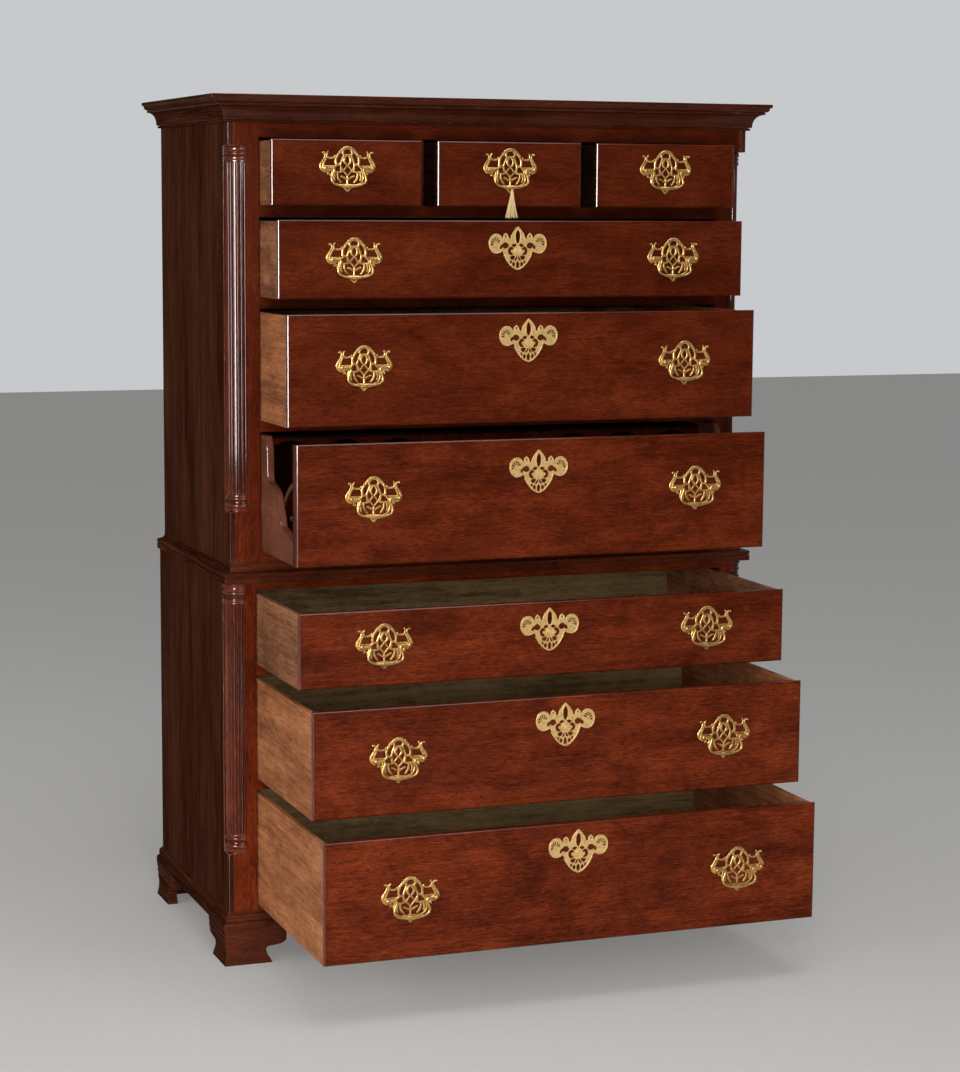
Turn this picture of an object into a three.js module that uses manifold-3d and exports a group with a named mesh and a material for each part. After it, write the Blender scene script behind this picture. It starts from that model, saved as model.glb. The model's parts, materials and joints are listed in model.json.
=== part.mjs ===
// Mahogany chest on chest with a secretaire drawer, in millimetres, +Z up.
// The drawers' fronts face -Y and stand open step by step, the lowest one furthest.
import * as THREE from 'three';
import * as BufferGeometryUtils from 'three/addons/utils/BufferGeometryUtils.js';
import Module from 'manifold-3d';

// Fits and clearances
const seatGap = 0.3;
const drawerRise = 0.5;
const drawerHeadroom = 3.5;
const drawerSideGap = 2;
const stopRoom = 10;
const pinClearance = 0.6;
const overrun = 6;

// Base: bracket feet and their moulding
const footHeight = 72;
const footReach = 128;
const footThickness = 22;
const footProjection = 13;
const footBlockSize = 46;
const baseMouldingHeight = 34;
const baseMouldingProjection = 14;

// Lower chest
const lowerWidth = 1130;
const lowerDepth = 565;
const lowerBottomRail = 11;
const lowerTopRail = 14;
const lowerRail = 22;
const lowerStile = 21;
const lowerDrawerHeights = [232, 205, 145];
const lowerDrawerPulls = [446, 375, 290];

// Waist moulding between the chests
const waistHeight = 38;
const waistProjection = 6;
const waistLap = 16;

// Upper chest
const upperInset = 11;
const upperSetback = 18;
const upperBottomRail = 22;
const upperTopRail = 28;
const upperRail = 22.5;
const upperStile = 25;
const topDivider = 29;
const topDrawerCount = 3;
const upperDrawerHeights = [233, 215, 151, 127];
const upperDrawerPulls = [243, 183, 121, 78];

// Cornice
const corniceHeight = 53;
const corniceProjection = 41;
const corniceLip = 14;

// Boards of both chests
const sideThickness = 20;
const backThickness = 12;
const stileDepth = 42;
const guideHeight = 20;

// Quarter columns in the front corners
const columnRecess = 37;
const columnRadius = 33.2;
const fluteCount = 7;
const fluteDepth = 2.2;
const upperBlockTop = 44;
const upperBlockBottom = 102;
const upperCapHeight = 26;
const upperBaseHeight = 31;
const lowerBlockBottom = 119;
const lowerCapHeight = 38;
const lowerBaseHeight = 35;

// Drawer boards
const frontThickness = 22;
const beadWidth = 3;
const beadProud = 1.5;
const boardThickness = 10;
const bottomThickness = 7;
const bottomRise = 6;
const backDrop = 12;

// Secretaire drawer
const fallThickness = 24;
const deskSideThickness = 14;
const deskFloorThickness = 12;
const scrollDepth = 190;
const pigeonholeDepth = 230;
const pigeonholeHeadroom = 7.5;
const pigeonholeBoard = 6;
const pigeonholeShelf = 92;
const drawerFrontInset = 4;
const cupboardWidth = 200;
const pilasterWidth = 32;
const pigeonholeCount = 3;
const quadrantRadius = 150;
const quadrantWidth = 10;
const quadrantThickness = 3;
const quadrantAngle = THREE.MathUtils.degToRad(70);

// Brass handles
const handleSpread = 337;
const plateWidth = 115;
const plateHeight = 88;
const plateThickness = 2;
const upperHandleHeights = [125, 111, 73, 70];
const lowerHandleHeights = [113, 104, 75];
const postSpread = 95;
const pivotRise = 3;
const pivotStandOff = 11;
const postRadius = 3.4;
const postHeadRadius = 5;
const postHeadLength = 6;
const bailWidth = 69;
const bailDrop = 35.5;
const bailRadius = 1.7;
const bailSwell = 1.6;
const bailInsertion = 2;
const bailSteps = 17;
const handleSides = 6;

// Brass escutcheons
const escutcheonWidth = 126;
const escutcheonHeight = 83;
const escutcheonThickness = 2;
const escutcheonDrop = 13;
const deskEscutcheonDrop = 23;

// Tassel on the middle top drawer
const tasselWidth = 28;
const tasselDepth = 14;
const tasselNeck = 5;
const tasselClearance = 2.5;

// Outlines as shares: across and up from the middle, of half the width and height
const plateOutlineShares = [
  [0, 1], [0.14, 0.95], [0.26, 0.81], [0.37, 0.65], [0.46, 0.5], [0.59, 0.49], [0.71, 0.58],
  [0.76, 0.82], [0.92, 0.79], [0.85, 0.63], [1, 0.14], [0.92, -0.05], [0.74, -0.11],
  [0.65, -0.22], [0.63, -0.46], [0.47, -0.66], [0.16, -0.78], [0, -1],
];
const plateMiddleHoleShares = [
  [[0.11, 0.61], [0.09, 0.73], [0, 0.8], [-0.09, 0.73], [-0.11, 0.61]],
  [[0, 0.57], [-0.06, 0.41], [0, 0.25], [0.06, 0.41]],
  [[0, 0.1], [-0.08, -0.1], [0, -0.31], [0.08, -0.1]],
];
const plateSideHoleShares = [
  [[0.16, 0.36], [0.09, 0.2], [0.16, 0.05], [0.23, 0.2]],
  [[0.5, 0.4], [0.5, 0.13], [0.79, 0.13], [0.84, 0.22], [0.74, 0.45]],
  [[0.1, -0.37], [0.26, -0.35], [0.37, -0.23], [0.22, -0.2]],
];
const escutcheonOutlineShares = [
  [0, 1], [0.14, 0.72], [0.26, 0.46], [0.38, 0.5], [0.4, 0.7], [0.49, 0.7], [0.51, 0.55],
  [0.6, 0.58], [0.67, 0.77], [0.81, 0.84], [0.95, 0.7], [1, 0.41], [0.94, 0.12], [0.78, -0.04],
  [0.63, 0.07], [0.54, -0.1], [0.43, -0.36], [0.32, -0.65], [0.16, -0.89], [0, -1],
];
const escutcheonMiddleHoleShares = [
  [[0.055, 0.31], [0.063, 0.67], [0, 0.82], [-0.063, 0.67], [-0.055, 0.31]],
  [[0, -0.63], [-0.055, -0.78], [0, -0.94], [0.055, -0.78]],
];
const escutcheonSideHoleShares = [
  [[0.32, 0.19], [0.46, 0.08], [0.59, 0.24], [0.46, 0.36]],
  [[0.14, 0.07], [0.19, -0.22], [0.3, -0.07], [0.27, 0.1]],
];

// Outline of a bracket foot: along its reach and up its height
const footOutlineShares = [
  [0, 0], [0.76, 0], [0.74, 0.1], [0.69, 0.24], [0.67, 0.4], [0.7, 0.46], [0.86, 0.49],
  [0.95, 0.54], [1, 0.64], [1, 1], [0, 1],
];

// Moulding profiles: projection and height as shares of the whole moulding
const corniceProfileShares = [
  [0.12, 0], [0.15, 0.09], [0.24, 0.11], [0.25, 0.24], [0.29, 0.41], [0.38, 0.54], [0.49, 0.6],
  [0.74, 0.63], [0.76, 0.78], [0.82, 0.82], [0.9, 0.85], [1, 0.87], [1, 1],
];
const baseProfileShares = [
  [0.95, 0], [1, 0.06], [1, 0.28], [0.88, 0.44], [0.64, 0.5], [0.58, 0.56], [0.56, 0.74],
  [0.44, 0.88], [0.22, 0.93], [0.2, 1],
];
const waistOuterShares = [[1, 0], [1, 0.3], [0.8, 0.33], [1, 0.36], [1, 0.52], [0.6, 0.55]];
const waistCoveShares = [[0.22, 0.6], [0.42, 0.7], [0.6, 0.84], [0.62, 1]];

// One flute of a column: place along its turn, and depth
const fluteShares = [[0.14, 0], [0.3, 0.75], [0.5, 1], [0.7, 0.75], [0.86, 0]];

// Rings of a quarter column: height up the cap or base, and reach past the shaft's radius
const capRingShares = [
  [0, 0.1], [0.1, 0.7], [0.22, 0.1], [0.4, 0.1], [0.5, 0.8], [0.66, 0.8], [0.74, 0.3], [0.9, 0.9],
  [1, 0.6],
];
const baseRingShares = [
  [0, 0.9], [0.2, 1], [0.4, 0.9], [0.5, 0.2], [0.7, 0.1], [0.8, 0.6], [0.92, 0.6], [1, 0.1],
];

// Front edge of the secretaire drawer's sides: back from the fall, and up from its groove
const scrollShares = [
  [0, 0.14], [0.09, 0.16], [0.26, 0.21], [0.42, 0.25], [0.46, 0.31], [0.56, 0.45], [0.61, 0.52],
  [0.74, 0.57], [0.87, 0.6], [0.91, 0.67], [0.92, 0.81], [0.94, 0.92], [1, 1],
];

// Path of a bail from its left pin to its middle: across, and down
const bailPathShares = [
  [-1.1, 0], [-0.88, -0.03], [-0.81, -0.2], [-0.92, -0.45], [-1, -0.66], [-0.84, -0.88],
  [-0.45, -0.98], [0, -1],
];

// Skirt of the tassel: reach from its axis, and height
const tasselShares = [[1, 0], [0.86, 0.12], [0.6, 0.42], [0.38, 0.74]];

const wasm = await Module();
wasm.setup();

// Solids and their joins and cuts

function solidFrom(geometry) {
  const bare = geometry.clone();
  bare.deleteAttribute('normal');
  bare.deleteAttribute('uv');
  const merged = BufferGeometryUtils.mergeVertices(bare);
  return new wasm.Manifold(new wasm.Mesh({
    numProp: 3,
    vertProperties: new Float32Array(merged.attributes.position.array),
    triVerts: new Uint32Array(merged.index.array),
  }));
}

function geometryFrom(solid) {
  const mesh = solid.getMesh();
  const geometry = new THREE.BufferGeometry();
  geometry.setAttribute('position', new THREE.BufferAttribute(mesh.vertProperties, 3));
  geometry.setIndex(new THREE.BufferAttribute(mesh.triVerts, 1));
  geometry.computeVertexNormals();
  return geometry;
}

function join(first, ...others) {
  return others.reduce((sum, next) => sum.add(next), first);
}

function cut(first, ...tools) {
  return tools.reduce((rest, next) => rest.subtract(next), first);
}

function block([left, right], [near, far], [bottom, top]) {
  const geometry = new THREE.BoxGeometry(right - left, far - near, top - bottom);
  geometry.translate((left + right) / 2, (near + far) / 2, (bottom + top) / 2);
  return solidFrom(geometry);
}

// A flat outline across X and up Z, from y = far towards -Y
function frontPlate(outline, far, thickness) {
  const shape = new THREE.Shape(outline);
  const geometry = new THREE.ExtrudeGeometry(shape, { depth: thickness, bevelEnabled: false });
  geometry.rotateX(Math.PI / 2);
  geometry.translate(0, far, 0);
  return solidFrom(geometry);
}

// A front plate with its back on y = 0 and its holes cut right through
function piercedPlate(outline, holes, thickness) {
  const tools = holes.map((hole) => frontPlate(hole, overrun, thickness + overrun * 2));
  return cut(frontPlate(outline, 0, thickness), ...tools);
}

// An outline forward along -Y and up Z, thickened across X
function sidePlate(outline, left, thickness) {
  const shape = new THREE.Shape(outline);
  const geometry = new THREE.ExtrudeGeometry(shape, { depth: thickness, bevelEnabled: false });
  geometry.rotateX(Math.PI / 2);
  geometry.rotateZ(-Math.PI / 2);
  geometry.translate(left + thickness, 0, 0);
  return solidFrom(geometry);
}

function pointsFrom(shares, acrossSize, upSize) {
  return shares.map(([across, up]) => new THREE.Vector2(across * acrossSize, up * upSize));
}

function mirrored(shares) {
  const inner = shares.filter(([across]) => across > 0);
  const left = inner.map(([across, up]) => [-across, up]).reverse();
  return [...shares, ...left];
}

function bothSides(holeShares) {
  const left = holeShares.map((hole) => hole.map(([across, up]) => [-across, up]));
  return [...holeShares, ...left];
}

// A moulding that runs up one side, across the front and back along the other side
function mitredMoulding(profile, halfWidth, front, back) {
  const stations = [
    ([out, up]) => [-halfWidth - out, back, up],
    ([out, up]) => [-halfWidth - out, front - out, up],
    ([out, up]) => [halfWidth + out, front - out, up],
    ([out, up]) => [halfWidth + out, back, up],
  ];
  const positions = stations.flatMap((place) => profile.flatMap((point) => place(point)));
  const count = profile.length;
  const faces = [];
  for (let station = 0; station + 1 < stations.length; station += 1) {
    for (let index = 0; index < count; index += 1) {
      const here = station * count + index;
      const next = station * count + (index + 1) % count;
      faces.push(here, here + count, next, next, here + count, next + count);
    }
  }
  const outline = profile.map(([out, up]) => new THREE.Vector2(out, up));
  const last = (stations.length - 1) * count;
  for (const [a, b, c] of THREE.ShapeUtils.triangulateShape(outline, [])) {
    faces.push(a, b, c, last + a, last + c, last + b);
  }
  const geometry = new THREE.BufferGeometry();
  geometry.setAttribute('position', new THREE.Float32BufferAttribute(positions, 3));
  geometry.setIndex(faces);
  return solidFrom(geometry);
}

// A round bar along a path, with its radius given at each step
function taperedBar(path, steps, sides, radiusAt) {
  const frames = path.computeFrenetFrames(steps, false);
  const positions = [];
  const faces = [];
  for (let step = 0; step <= steps; step += 1) {
    const centre = path.getPointAt(step / steps);
    for (let side = 0; side < sides; side += 1) {
      const angle = side / sides * Math.PI * 2;
      const point = centre.clone();
      point.addScaledVector(frames.normals[step], Math.cos(angle) * radiusAt(step / steps));
      point.addScaledVector(frames.binormals[step], Math.sin(angle) * radiusAt(step / steps));
      positions.push(point.x, point.y, point.z);
    }
  }
  for (let step = 0; step < steps; step += 1) {
    for (let side = 0; side < sides; side += 1) {
      const here = step * sides + side;
      const next = step * sides + (side + 1) % sides;
      faces.push(here, next, here + sides, next, next + sides, here + sides);
    }
  }
  const last = steps * sides;
  for (let side = 1; side + 1 < sides; side += 1) {
    faces.push(0, side + 1, side, last, last + side, last + side + 1);
  }
  const geometry = new THREE.BufferGeometry();
  geometry.setAttribute('position', new THREE.Float32BufferAttribute(positions, 3));
  geometry.setIndex(faces);
  geometry.computeVertexNormals();
  return geometry;
}

// Levels, worked out from the floor upwards

function stackRows(start, drawerHeights, rail) {
  let bottom = start;
  return drawerHeights.map((height) => {
    const row = { bottom, top: bottom + drawerRise + height + drawerHeadroom, height };
    bottom = row.top + rail;
    return row;
  });
}

const lowerHalf = lowerWidth / 2;
const baseTop = footHeight + baseMouldingHeight;
const lowerRows = stackRows(baseTop + lowerBottomRail, lowerDrawerHeights, lowerRail);
const waistBottom = lowerRows.at(-1).top + lowerTopRail;
const waistTop = waistBottom + waistHeight;
const lowerTop = waistBottom + waistLap;
const lowerOpeningHalf = lowerHalf - columnRecess - lowerStile;

const upperHalf = lowerHalf - upperInset;
const upperBottom = lowerTop + seatGap;
const upperRows = stackRows(waistTop + upperBottomRail, upperDrawerHeights, upperRail);
const corniceBottom = upperRows.at(-1).top + upperTopRail;
const corniceTop = corniceBottom + corniceHeight;
const upperOpeningHalf = upperHalf - columnRecess - upperStile;

const lowerChest = {
  half: lowerHalf,
  front: 0,
  openingHalf: lowerOpeningHalf,
  bottom: footHeight,
  top: lowerTop,
  rows: lowerRows,
  recess: [baseTop + lowerBlockBottom, waistBottom],
  capHeight: lowerCapHeight,
  baseHeight: lowerBaseHeight,
};
const upperChest = {
  half: upperHalf,
  front: upperSetback,
  openingHalf: upperOpeningHalf,
  bottom: upperBottom,
  top: corniceTop - corniceLip,
  rows: upperRows,
  recess: [waistTop + upperBlockBottom, corniceBottom - upperBlockTop],
  capHeight: upperCapHeight,
  baseHeight: upperBaseHeight,
};

// Openings side by side in a row: one across, or three with dividers
function rowOpenings(openingHalf, count) {
  const width = (openingHalf * 2 - topDivider * (count - 1)) / count;
  return Array.from({ length: count }, (unused, index) => {
    const left = -openingHalf + index * (width + topDivider);
    return [left, left + width];
  });
}

// Colours of the materials
const mahogany = { color: 0x6e2a18, roughness: 0.35, metalness: 0 };
const sideMahogany = { color: 0x4a2415, roughness: 0.45, metalness: 0 };
const brass = { color: 0xc8a04c, roughness: 0.3, metalness: 1 };
const silk = { color: 0xd9c28c, roughness: 0.8, metalness: 0 };

function addMesh(group, name, geometry, look) {
  const mesh = new THREE.Mesh(geometry, new THREE.MeshStandardMaterial(look));
  mesh.name = name;
  group.add(mesh);
  return mesh;
}

// A chest's case: sides, top, bottom, back, rails and stiles, hollow behind its openings
function carcass(chest) {
  const { half, front, rows, openingHalf } = chest;
  const backInside = lowerDepth - backThickness;
  let solid = block([-half, half], [front, lowerDepth], [chest.bottom, chest.top]);
  rows.forEach((row, index) => {
    const topRow = chest === upperChest && index === rows.length - 1;
    for (const opening of rowOpenings(openingHalf, topRow ? topDrawerCount : 1)) {
      solid = cut(solid, block(opening, [front - overrun, backInside], [row.bottom, row.top]));
    }
    const hollow = half - sideThickness;
    const depth = [front + stileDepth, backInside];
    solid = cut(solid, block([-hollow, hollow], depth, [row.bottom + guideHeight, row.top]));
  });
  const corner = [front - overrun, front + columnRecess];
  return cut(
    solid,
    block([-half - overrun, -half + columnRecess], corner, chest.recess),
    block([half - columnRecess, half + overrun], corner, chest.recess),
  );
}

// A quarter column, with its axis on Z and its face towards -X and -Y
function quarterColumn(chest) {
  const height = chest.recess[1] - chest.recess[0] - seatGap * 2;
  const shaftBottom = chest.baseHeight;
  const shaftTop = height - chest.capHeight;
  const quarter = Math.PI / 2;
  const shape = new THREE.Shape();
  shape.moveTo(0, 0);
  for (let flute = 0; flute < fluteCount; flute += 1) {
    for (const [turn, depth] of fluteShares) {
      const angle = Math.PI + (flute + turn) / fluteCount * quarter;
      const radius = columnRadius - fluteDepth * depth;
      shape.lineTo(Math.cos(angle) * radius, Math.sin(angle) * radius);
    }
  }
  const shaftGeometry = new THREE.ExtrudeGeometry(shape, {
    depth: shaftTop - shaftBottom + seatGap * 2,
    bevelEnabled: false,
  });
  shaftGeometry.translate(0, 0, shaftBottom - seatGap);
  const spare = columnRecess - seatGap - columnRadius;
  const ringed = (shares, ringHeight, bottom) => {
    const profile = shares.map(([up, out]) => (
      new THREE.Vector2(columnRadius + spare * out, bottom + ringHeight * up)));
    profile.unshift(new THREE.Vector2(0, bottom));
    profile.push(new THREE.Vector2(0, bottom + ringHeight));
    const geometry = new THREE.LatheGeometry(profile, fluteCount * 4);
    geometry.rotateX(Math.PI / 2);
    return solidFrom(geometry);
  };
  const rings = join(
    ringed(baseRingShares, chest.baseHeight, 0),
    ringed(capRingShares, chest.capHeight, shaftTop),
  );
  const quadrant = block([-columnRecess, 0], [-columnRecess, 0], [-overrun, height + overrun]);
  return join(solidFrom(shaftGeometry), rings.intersect(quadrant));
}

function addColumns(group, chest, level) {
  const geometry = geometryFrom(quarterColumn(chest));
  const across = chest.half - columnRecess + seatGap;
  const along = chest.front + columnRecess - seatGap;
  const left = addMesh(group, `column_${level}_left`, geometry, mahogany);
  left.position.set(-across, along, chest.recess[0] + seatGap);
  const right = addMesh(group, `column_${level}_right`, geometry.clone(), mahogany);
  right.position.set(across, along, chest.recess[0] + seatGap);
  right.rotation.z = Math.PI / 2;
}

// A bracket foot with its outer corner on Z, its wings along +X and +Y
function bracketFoot() {
  const height = footHeight - seatGap;
  const outline = pointsFrom(footOutlineShares, footReach, height);
  const geometry = new THREE.ExtrudeGeometry(new THREE.Shape(outline), {
    depth: footThickness,
    bevelEnabled: false,
  });
  geometry.rotateX(Math.PI / 2);
  geometry.rotateZ(Math.PI / 2);
  const inner = [footThickness - seatGap, footThickness + footBlockSize];
  return join(
    frontPlate(outline, footThickness, footThickness),
    solidFrom(geometry),
    block(inner, inner, [height / 2, height]),
  );
}

function addFeet(group) {
  const geometry = geometryFrom(bracketFoot());
  const across = lowerHalf + footProjection;
  const places = [
    ['foot_front_left', -across, -footProjection, 0],
    ['foot_front_right', across, -footProjection, Math.PI / 2],
    ['foot_back_right', across, lowerDepth, Math.PI],
    ['foot_back_left', -across, lowerDepth, -Math.PI / 2],
  ];
  for (const [name, x, y, turn] of places) {
    const foot = addMesh(group, name, geometry.clone(), mahogany);
    foot.position.set(x, y, 0);
    foot.rotation.z = turn;
  }
}

function addMouldings(group) {
  const closed = (shares, projection, bottom, height) => {
    const outer = shares.map(([out, up]) => [out * projection, bottom + up * height]);
    return [[seatGap, bottom], ...outer, [seatGap, bottom + height]];
  };
  const base = closed(baseProfileShares, baseMouldingProjection, footHeight, baseMouldingHeight);
  const baseSolid = mitredMoulding(base, lowerHalf, 0, lowerDepth);
  addMesh(group, 'base_moulding', geometryFrom(baseSolid), mahogany);

  const cornice = closed(corniceProfileShares, corniceProjection, corniceBottom, corniceHeight);
  const corniceSolid = mitredMoulding(cornice, upperHalf, upperSetback, lowerDepth);
  addMesh(group, 'cornice', geometryFrom(corniceSolid), mahogany);

  const rise = (up) => waistBottom + up * waistHeight;
  const waist = [
    [seatGap, waistBottom],
    ...waistOuterShares.map(([out, up]) => [out * waistProjection, rise(up)]),
    ...waistCoveShares.map(([out, up]) => [-out * upperSetback, rise(up)]),
    [-upperSetback - overrun, waistTop],
    [-upperSetback - overrun, lowerTop + seatGap],
    [seatGap, lowerTop + seatGap],
  ];
  const upperCase = block(
    [-upperHalf - seatGap, upperHalf + seatGap],
    [upperSetback - seatGap, lowerDepth + overrun],
    [waistBottom, waistTop + overrun],
  );
  const waistSolid = cut(mitredMoulding(waist, lowerHalf, 0, lowerDepth), upperCase);
  addMesh(group, 'waist_moulding', geometryFrom(waistSolid), mahogany);
}

// A drawer front with its raised bead, its face on y = front
function beadedFront([left, right], front, [bottom, top], thickness) {
  const face = [front - beadProud, front + beadProud];
  const bead = cut(
    block([left, right], face, [bottom, top]),
    block(
      [left + beadWidth, right - beadWidth],
      [front - beadProud - overrun, front + beadProud + overrun],
      [bottom + beadWidth, top - beadWidth],
    ),
  );
  return join(block([left, right], [front, front + thickness], [bottom, top]), bead);
}

function drawerSolid([left, right], front, bottom, height) {
  const back = lowerDepth - backThickness - stopRoom;
  const inside = [left + boardThickness, right - boardThickness];
  const frontInside = front + frontThickness;
  const backInside = back - boardThickness;
  const floor = bottom + bottomRise + bottomThickness;
  const top = bottom + height;
  return cut(
    join(
      beadedFront([left, right], front, [bottom, top], frontThickness),
      block([left, right], [front + beadWidth, back], [bottom, top - beadProud]),
    ),
    block(inside, [frontInside, backInside], [floor, top + overrun]),
    block(inside, [frontInside, back + overrun], [bottom - overrun, bottom + bottomRise]),
    block(inside, [backInside - overrun, back + overrun], [top - backDrop, top + overrun]),
  );
}

// The secretaire drawer: scrolled sides, floor, back and the pigeonholes
function deskSolid([left, right], front, bottom, height) {
  const back = lowerDepth - backThickness - stopRoom;
  const hinge = front + fallThickness;
  const floor = bottom + deskFloorThickness;
  const top = bottom + height - beadProud;
  const floorFront = hinge + deskFloorThickness + seatGap;
  const notchTop = floor + seatGap;
  const scroll = scrollShares.map(([behind, up]) => (
    new THREE.Vector2(-hinge - seatGap - behind * scrollDepth, notchTop + up * (top - notchTop))));
  const outline = [
    new THREE.Vector2(-back, bottom),
    new THREE.Vector2(-floorFront, bottom),
    new THREE.Vector2(-floorFront, notchTop),
    new THREE.Vector2(-hinge - seatGap, notchTop),
    ...new THREE.SplineCurve(scroll).getPoints(scroll.length * 2),
    new THREE.Vector2(-back, top),
  ];
  const inside = [left + deskSideThickness - seatGap, right - deskSideThickness + seatGap];
  return join(
    sidePlate(outline, left, deskSideThickness),
    sidePlate(outline, right - deskSideThickness, deskSideThickness),
    block(inside, [floorFront, back], [bottom, floor]),
    block(inside, [back - boardThickness, back], [bottom, top - backDrop]),
    pigeonholes(inside, back - boardThickness, [floor, top - pigeonholeHeadroom]),
  );
}

// A cupboard between pilasters in the middle, with pigeonholes over small drawers beside it
function pigeonholes([left, right], back, [floor, top]) {
  const face = back - pigeonholeDepth;
  const holeBottom = floor + pigeonholeShelf;
  const holeTop = top - pigeonholeBoard;
  const holeBack = back - pigeonholeBoard;
  const middle = cupboardWidth / 2 + pigeonholeBoard + pilasterWidth;
  const pitch = (right - middle) / pigeonholeCount;
  let solid = block([left, right], [face, back], [floor - seatGap, top]);
  const cutBoth = (near, far, depth, levels) => {
    solid = cut(solid, block([near, far], depth, levels), block([-far, -near], depth, levels));
  };
  for (let index = 0; index < pigeonholeCount; index += 1) {
    const near = middle + index * pitch;
    const far = near + pitch - pigeonholeBoard;
    cutBoth(near, far, [face - overrun, holeBack], [holeBottom, holeTop]);
    const drawerTop = holeBottom - pigeonholeBoard;
    const inset = [face - overrun, face + drawerFrontInset];
    cutBoth(near, far, inset, [floor + pigeonholeBoard, drawerTop]);
  }
  const door = [face - overrun, face + drawerFrontInset];
  const half = cupboardWidth / 2;
  return cut(solid, block([-half, half], door, [floor + pigeonholeBoard, holeTop]));
}

// The fall front with the quadrant stays on its inner face
function fallSolid([left, right], front, bottom, height) {
  const hingeY = front + fallThickness;
  const hingeZ = bottom + deskFloorThickness;
  const board = beadedFront([left, right], front, [bottom, bottom + height], fallThickness);
  const ring = new THREE.Shape();
  const start = Math.PI / 2 - quadrantAngle;
  const reach = quadrantRadius - quadrantWidth;
  ring.absarc(0, 0, quadrantRadius, start, Math.PI / 2 + quadrantWidth / quadrantRadius, false);
  ring.absarc(0, 0, reach, Math.PI / 2 + quadrantWidth / quadrantRadius, start, true);
  const quadrant = (x) => {
    const geometry = new THREE.ExtrudeGeometry(ring, {
      depth: quadrantThickness,
      bevelEnabled: false,
      curveSegments: 8,
    });
    geometry.rotateX(Math.PI / 2);
    geometry.rotateZ(Math.PI / 2);
    geometry.translate(x, hingeY, hingeZ);
    return solidFrom(geometry);
  };
  const inset = deskSideThickness + seatGap;
  return join(board, quadrant(left + inset), quadrant(right - inset - quadrantThickness));
}

// A pierced backplate with two posts, its middle on the origin and its back on y = 0
function plateSolid() {
  const across = plateWidth / 2;
  const up = plateHeight / 2;
  const outline = pointsFrom(mirrored(plateOutlineShares), across, up);
  const holeShares = [...plateMiddleHoleShares, ...bothSides(plateSideHoleShares)];
  const holes = holeShares.map((hole) => pointsFrom(hole, across, up));
  const boreRadius = bailRadius + pinClearance;
  const headNear = pivotStandOff - postHeadLength / 2;
  const post = (x) => {
    const profile = [
      new THREE.Vector2(0, plateThickness / 2),
      new THREE.Vector2(postRadius, plateThickness / 2),
      new THREE.Vector2(postRadius, headNear),
      new THREE.Vector2(postHeadRadius, headNear + postHeadLength / 2),
      new THREE.Vector2(0, headNear + postHeadLength),
    ];
    const geometry = new THREE.LatheGeometry(profile, handleSides);
    geometry.rotateX(Math.PI);
    geometry.translate(x, 0, pivotRise);
    return solidFrom(geometry);
  };
  const bore = new THREE.CylinderGeometry(boreRadius, boreRadius, postSpread, handleSides);
  bore.rotateZ(Math.PI / 2);
  bore.translate(0, -pivotStandOff, pivotRise);
  return join(
    piercedPlate(outline, holes, plateThickness),
    cut(join(post(-postSpread / 2), post(postSpread / 2)), solidFrom(bore)),
  );
}

// A bail on its pivot axis: its pins lie along X at the origin
function bailGeometry() {
  const half = bailWidth / 2;
  const pin = postSpread / 2 - postHeadRadius + bailInsertion;
  const left = bailPathShares.map(([across, down]) => (
    new THREE.Vector3(across * half, 0, down * bailDrop)));
  left.unshift(new THREE.Vector3(-pin, 0, 0));
  const right = left.slice(0, -1).reverse();
  const points = [...left, ...right.map((point) => new THREE.Vector3(-point.x, 0, point.z))];
  const path = new THREE.CatmullRomCurve3(points, false, 'centripetal');
  const swell = (share) => bailRadius + bailSwell * Math.sin(share * Math.PI) ** 6;
  return taperedBar(path, bailSteps, handleSides, swell);
}

function escutcheonSolid() {
  const across = escutcheonWidth / 2;
  const up = escutcheonHeight / 2;
  const outline = pointsFrom(mirrored(escutcheonOutlineShares), across, up);
  const holeShares = [...escutcheonMiddleHoleShares, ...bothSides(escutcheonSideHoleShares)];
  const holes = holeShares.map((hole) => pointsFrom(hole, across, up));
  return piercedPlate(outline, holes, escutcheonThickness);
}

const plate = geometryFrom(plateSolid());
const bail = bailGeometry();
const escutcheon = geometryFrom(escutcheonSolid());

function addHandle(group, label, x, face, centreHeight) {
  const backplate = addMesh(group, `plate_${label}`, plate.clone(), brass);
  backplate.position.set(x, face - seatGap, centreHeight);
  const loop = addMesh(group, `bail_${label}`, bail.clone(), brass);
  loop.position.set(x, face - seatGap - pivotStandOff, centreHeight + pivotRise);
  return loop.position;
}

function addEscutcheon(group, label, face, top, drop) {
  const shield = addMesh(group, `escutcheon_${label}`, escutcheon.clone(), brass);
  shield.position.set(0, face - seatGap, top - drop - escutcheonHeight / 2);
}

// The tassel hangs from the middle of a bail, down to just above the next drawer's front
function addTassel(group, bailPlace, bottom) {
  const top = bailPlace.z - bailDrop - bailRadius - bailSwell - seatGap;
  const skirt = tasselShares.map(([out, up]) => (
    new THREE.Vector2(out * tasselWidth / 2, up * (top - bottom))));
  const profile = [
    new THREE.Vector2(0, 0),
    ...skirt,
    new THREE.Vector2(tasselNeck / 2, top - bottom),
    new THREE.Vector2(0, top - bottom),
  ];
  const geometry = new THREE.LatheGeometry(profile, 12);
  geometry.rotateX(Math.PI / 2);
  geometry.scale(1, tasselDepth / tasselWidth, 1);
  const tassel = addMesh(group, 'tassel', geometryFrom(solidFrom(geometry)), silk);
  tassel.position.set(bailPlace.x, bailPlace.y, bottom);
}

function openGroup(parent, pull) {
  const group = new THREE.Group();
  group.position.set(0, -pull, 0);
  parent.add(group);
  return group;
}

function narrowed([left, right]) {
  return [left + drawerSideGap, right - drawerSideGap];
}

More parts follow.
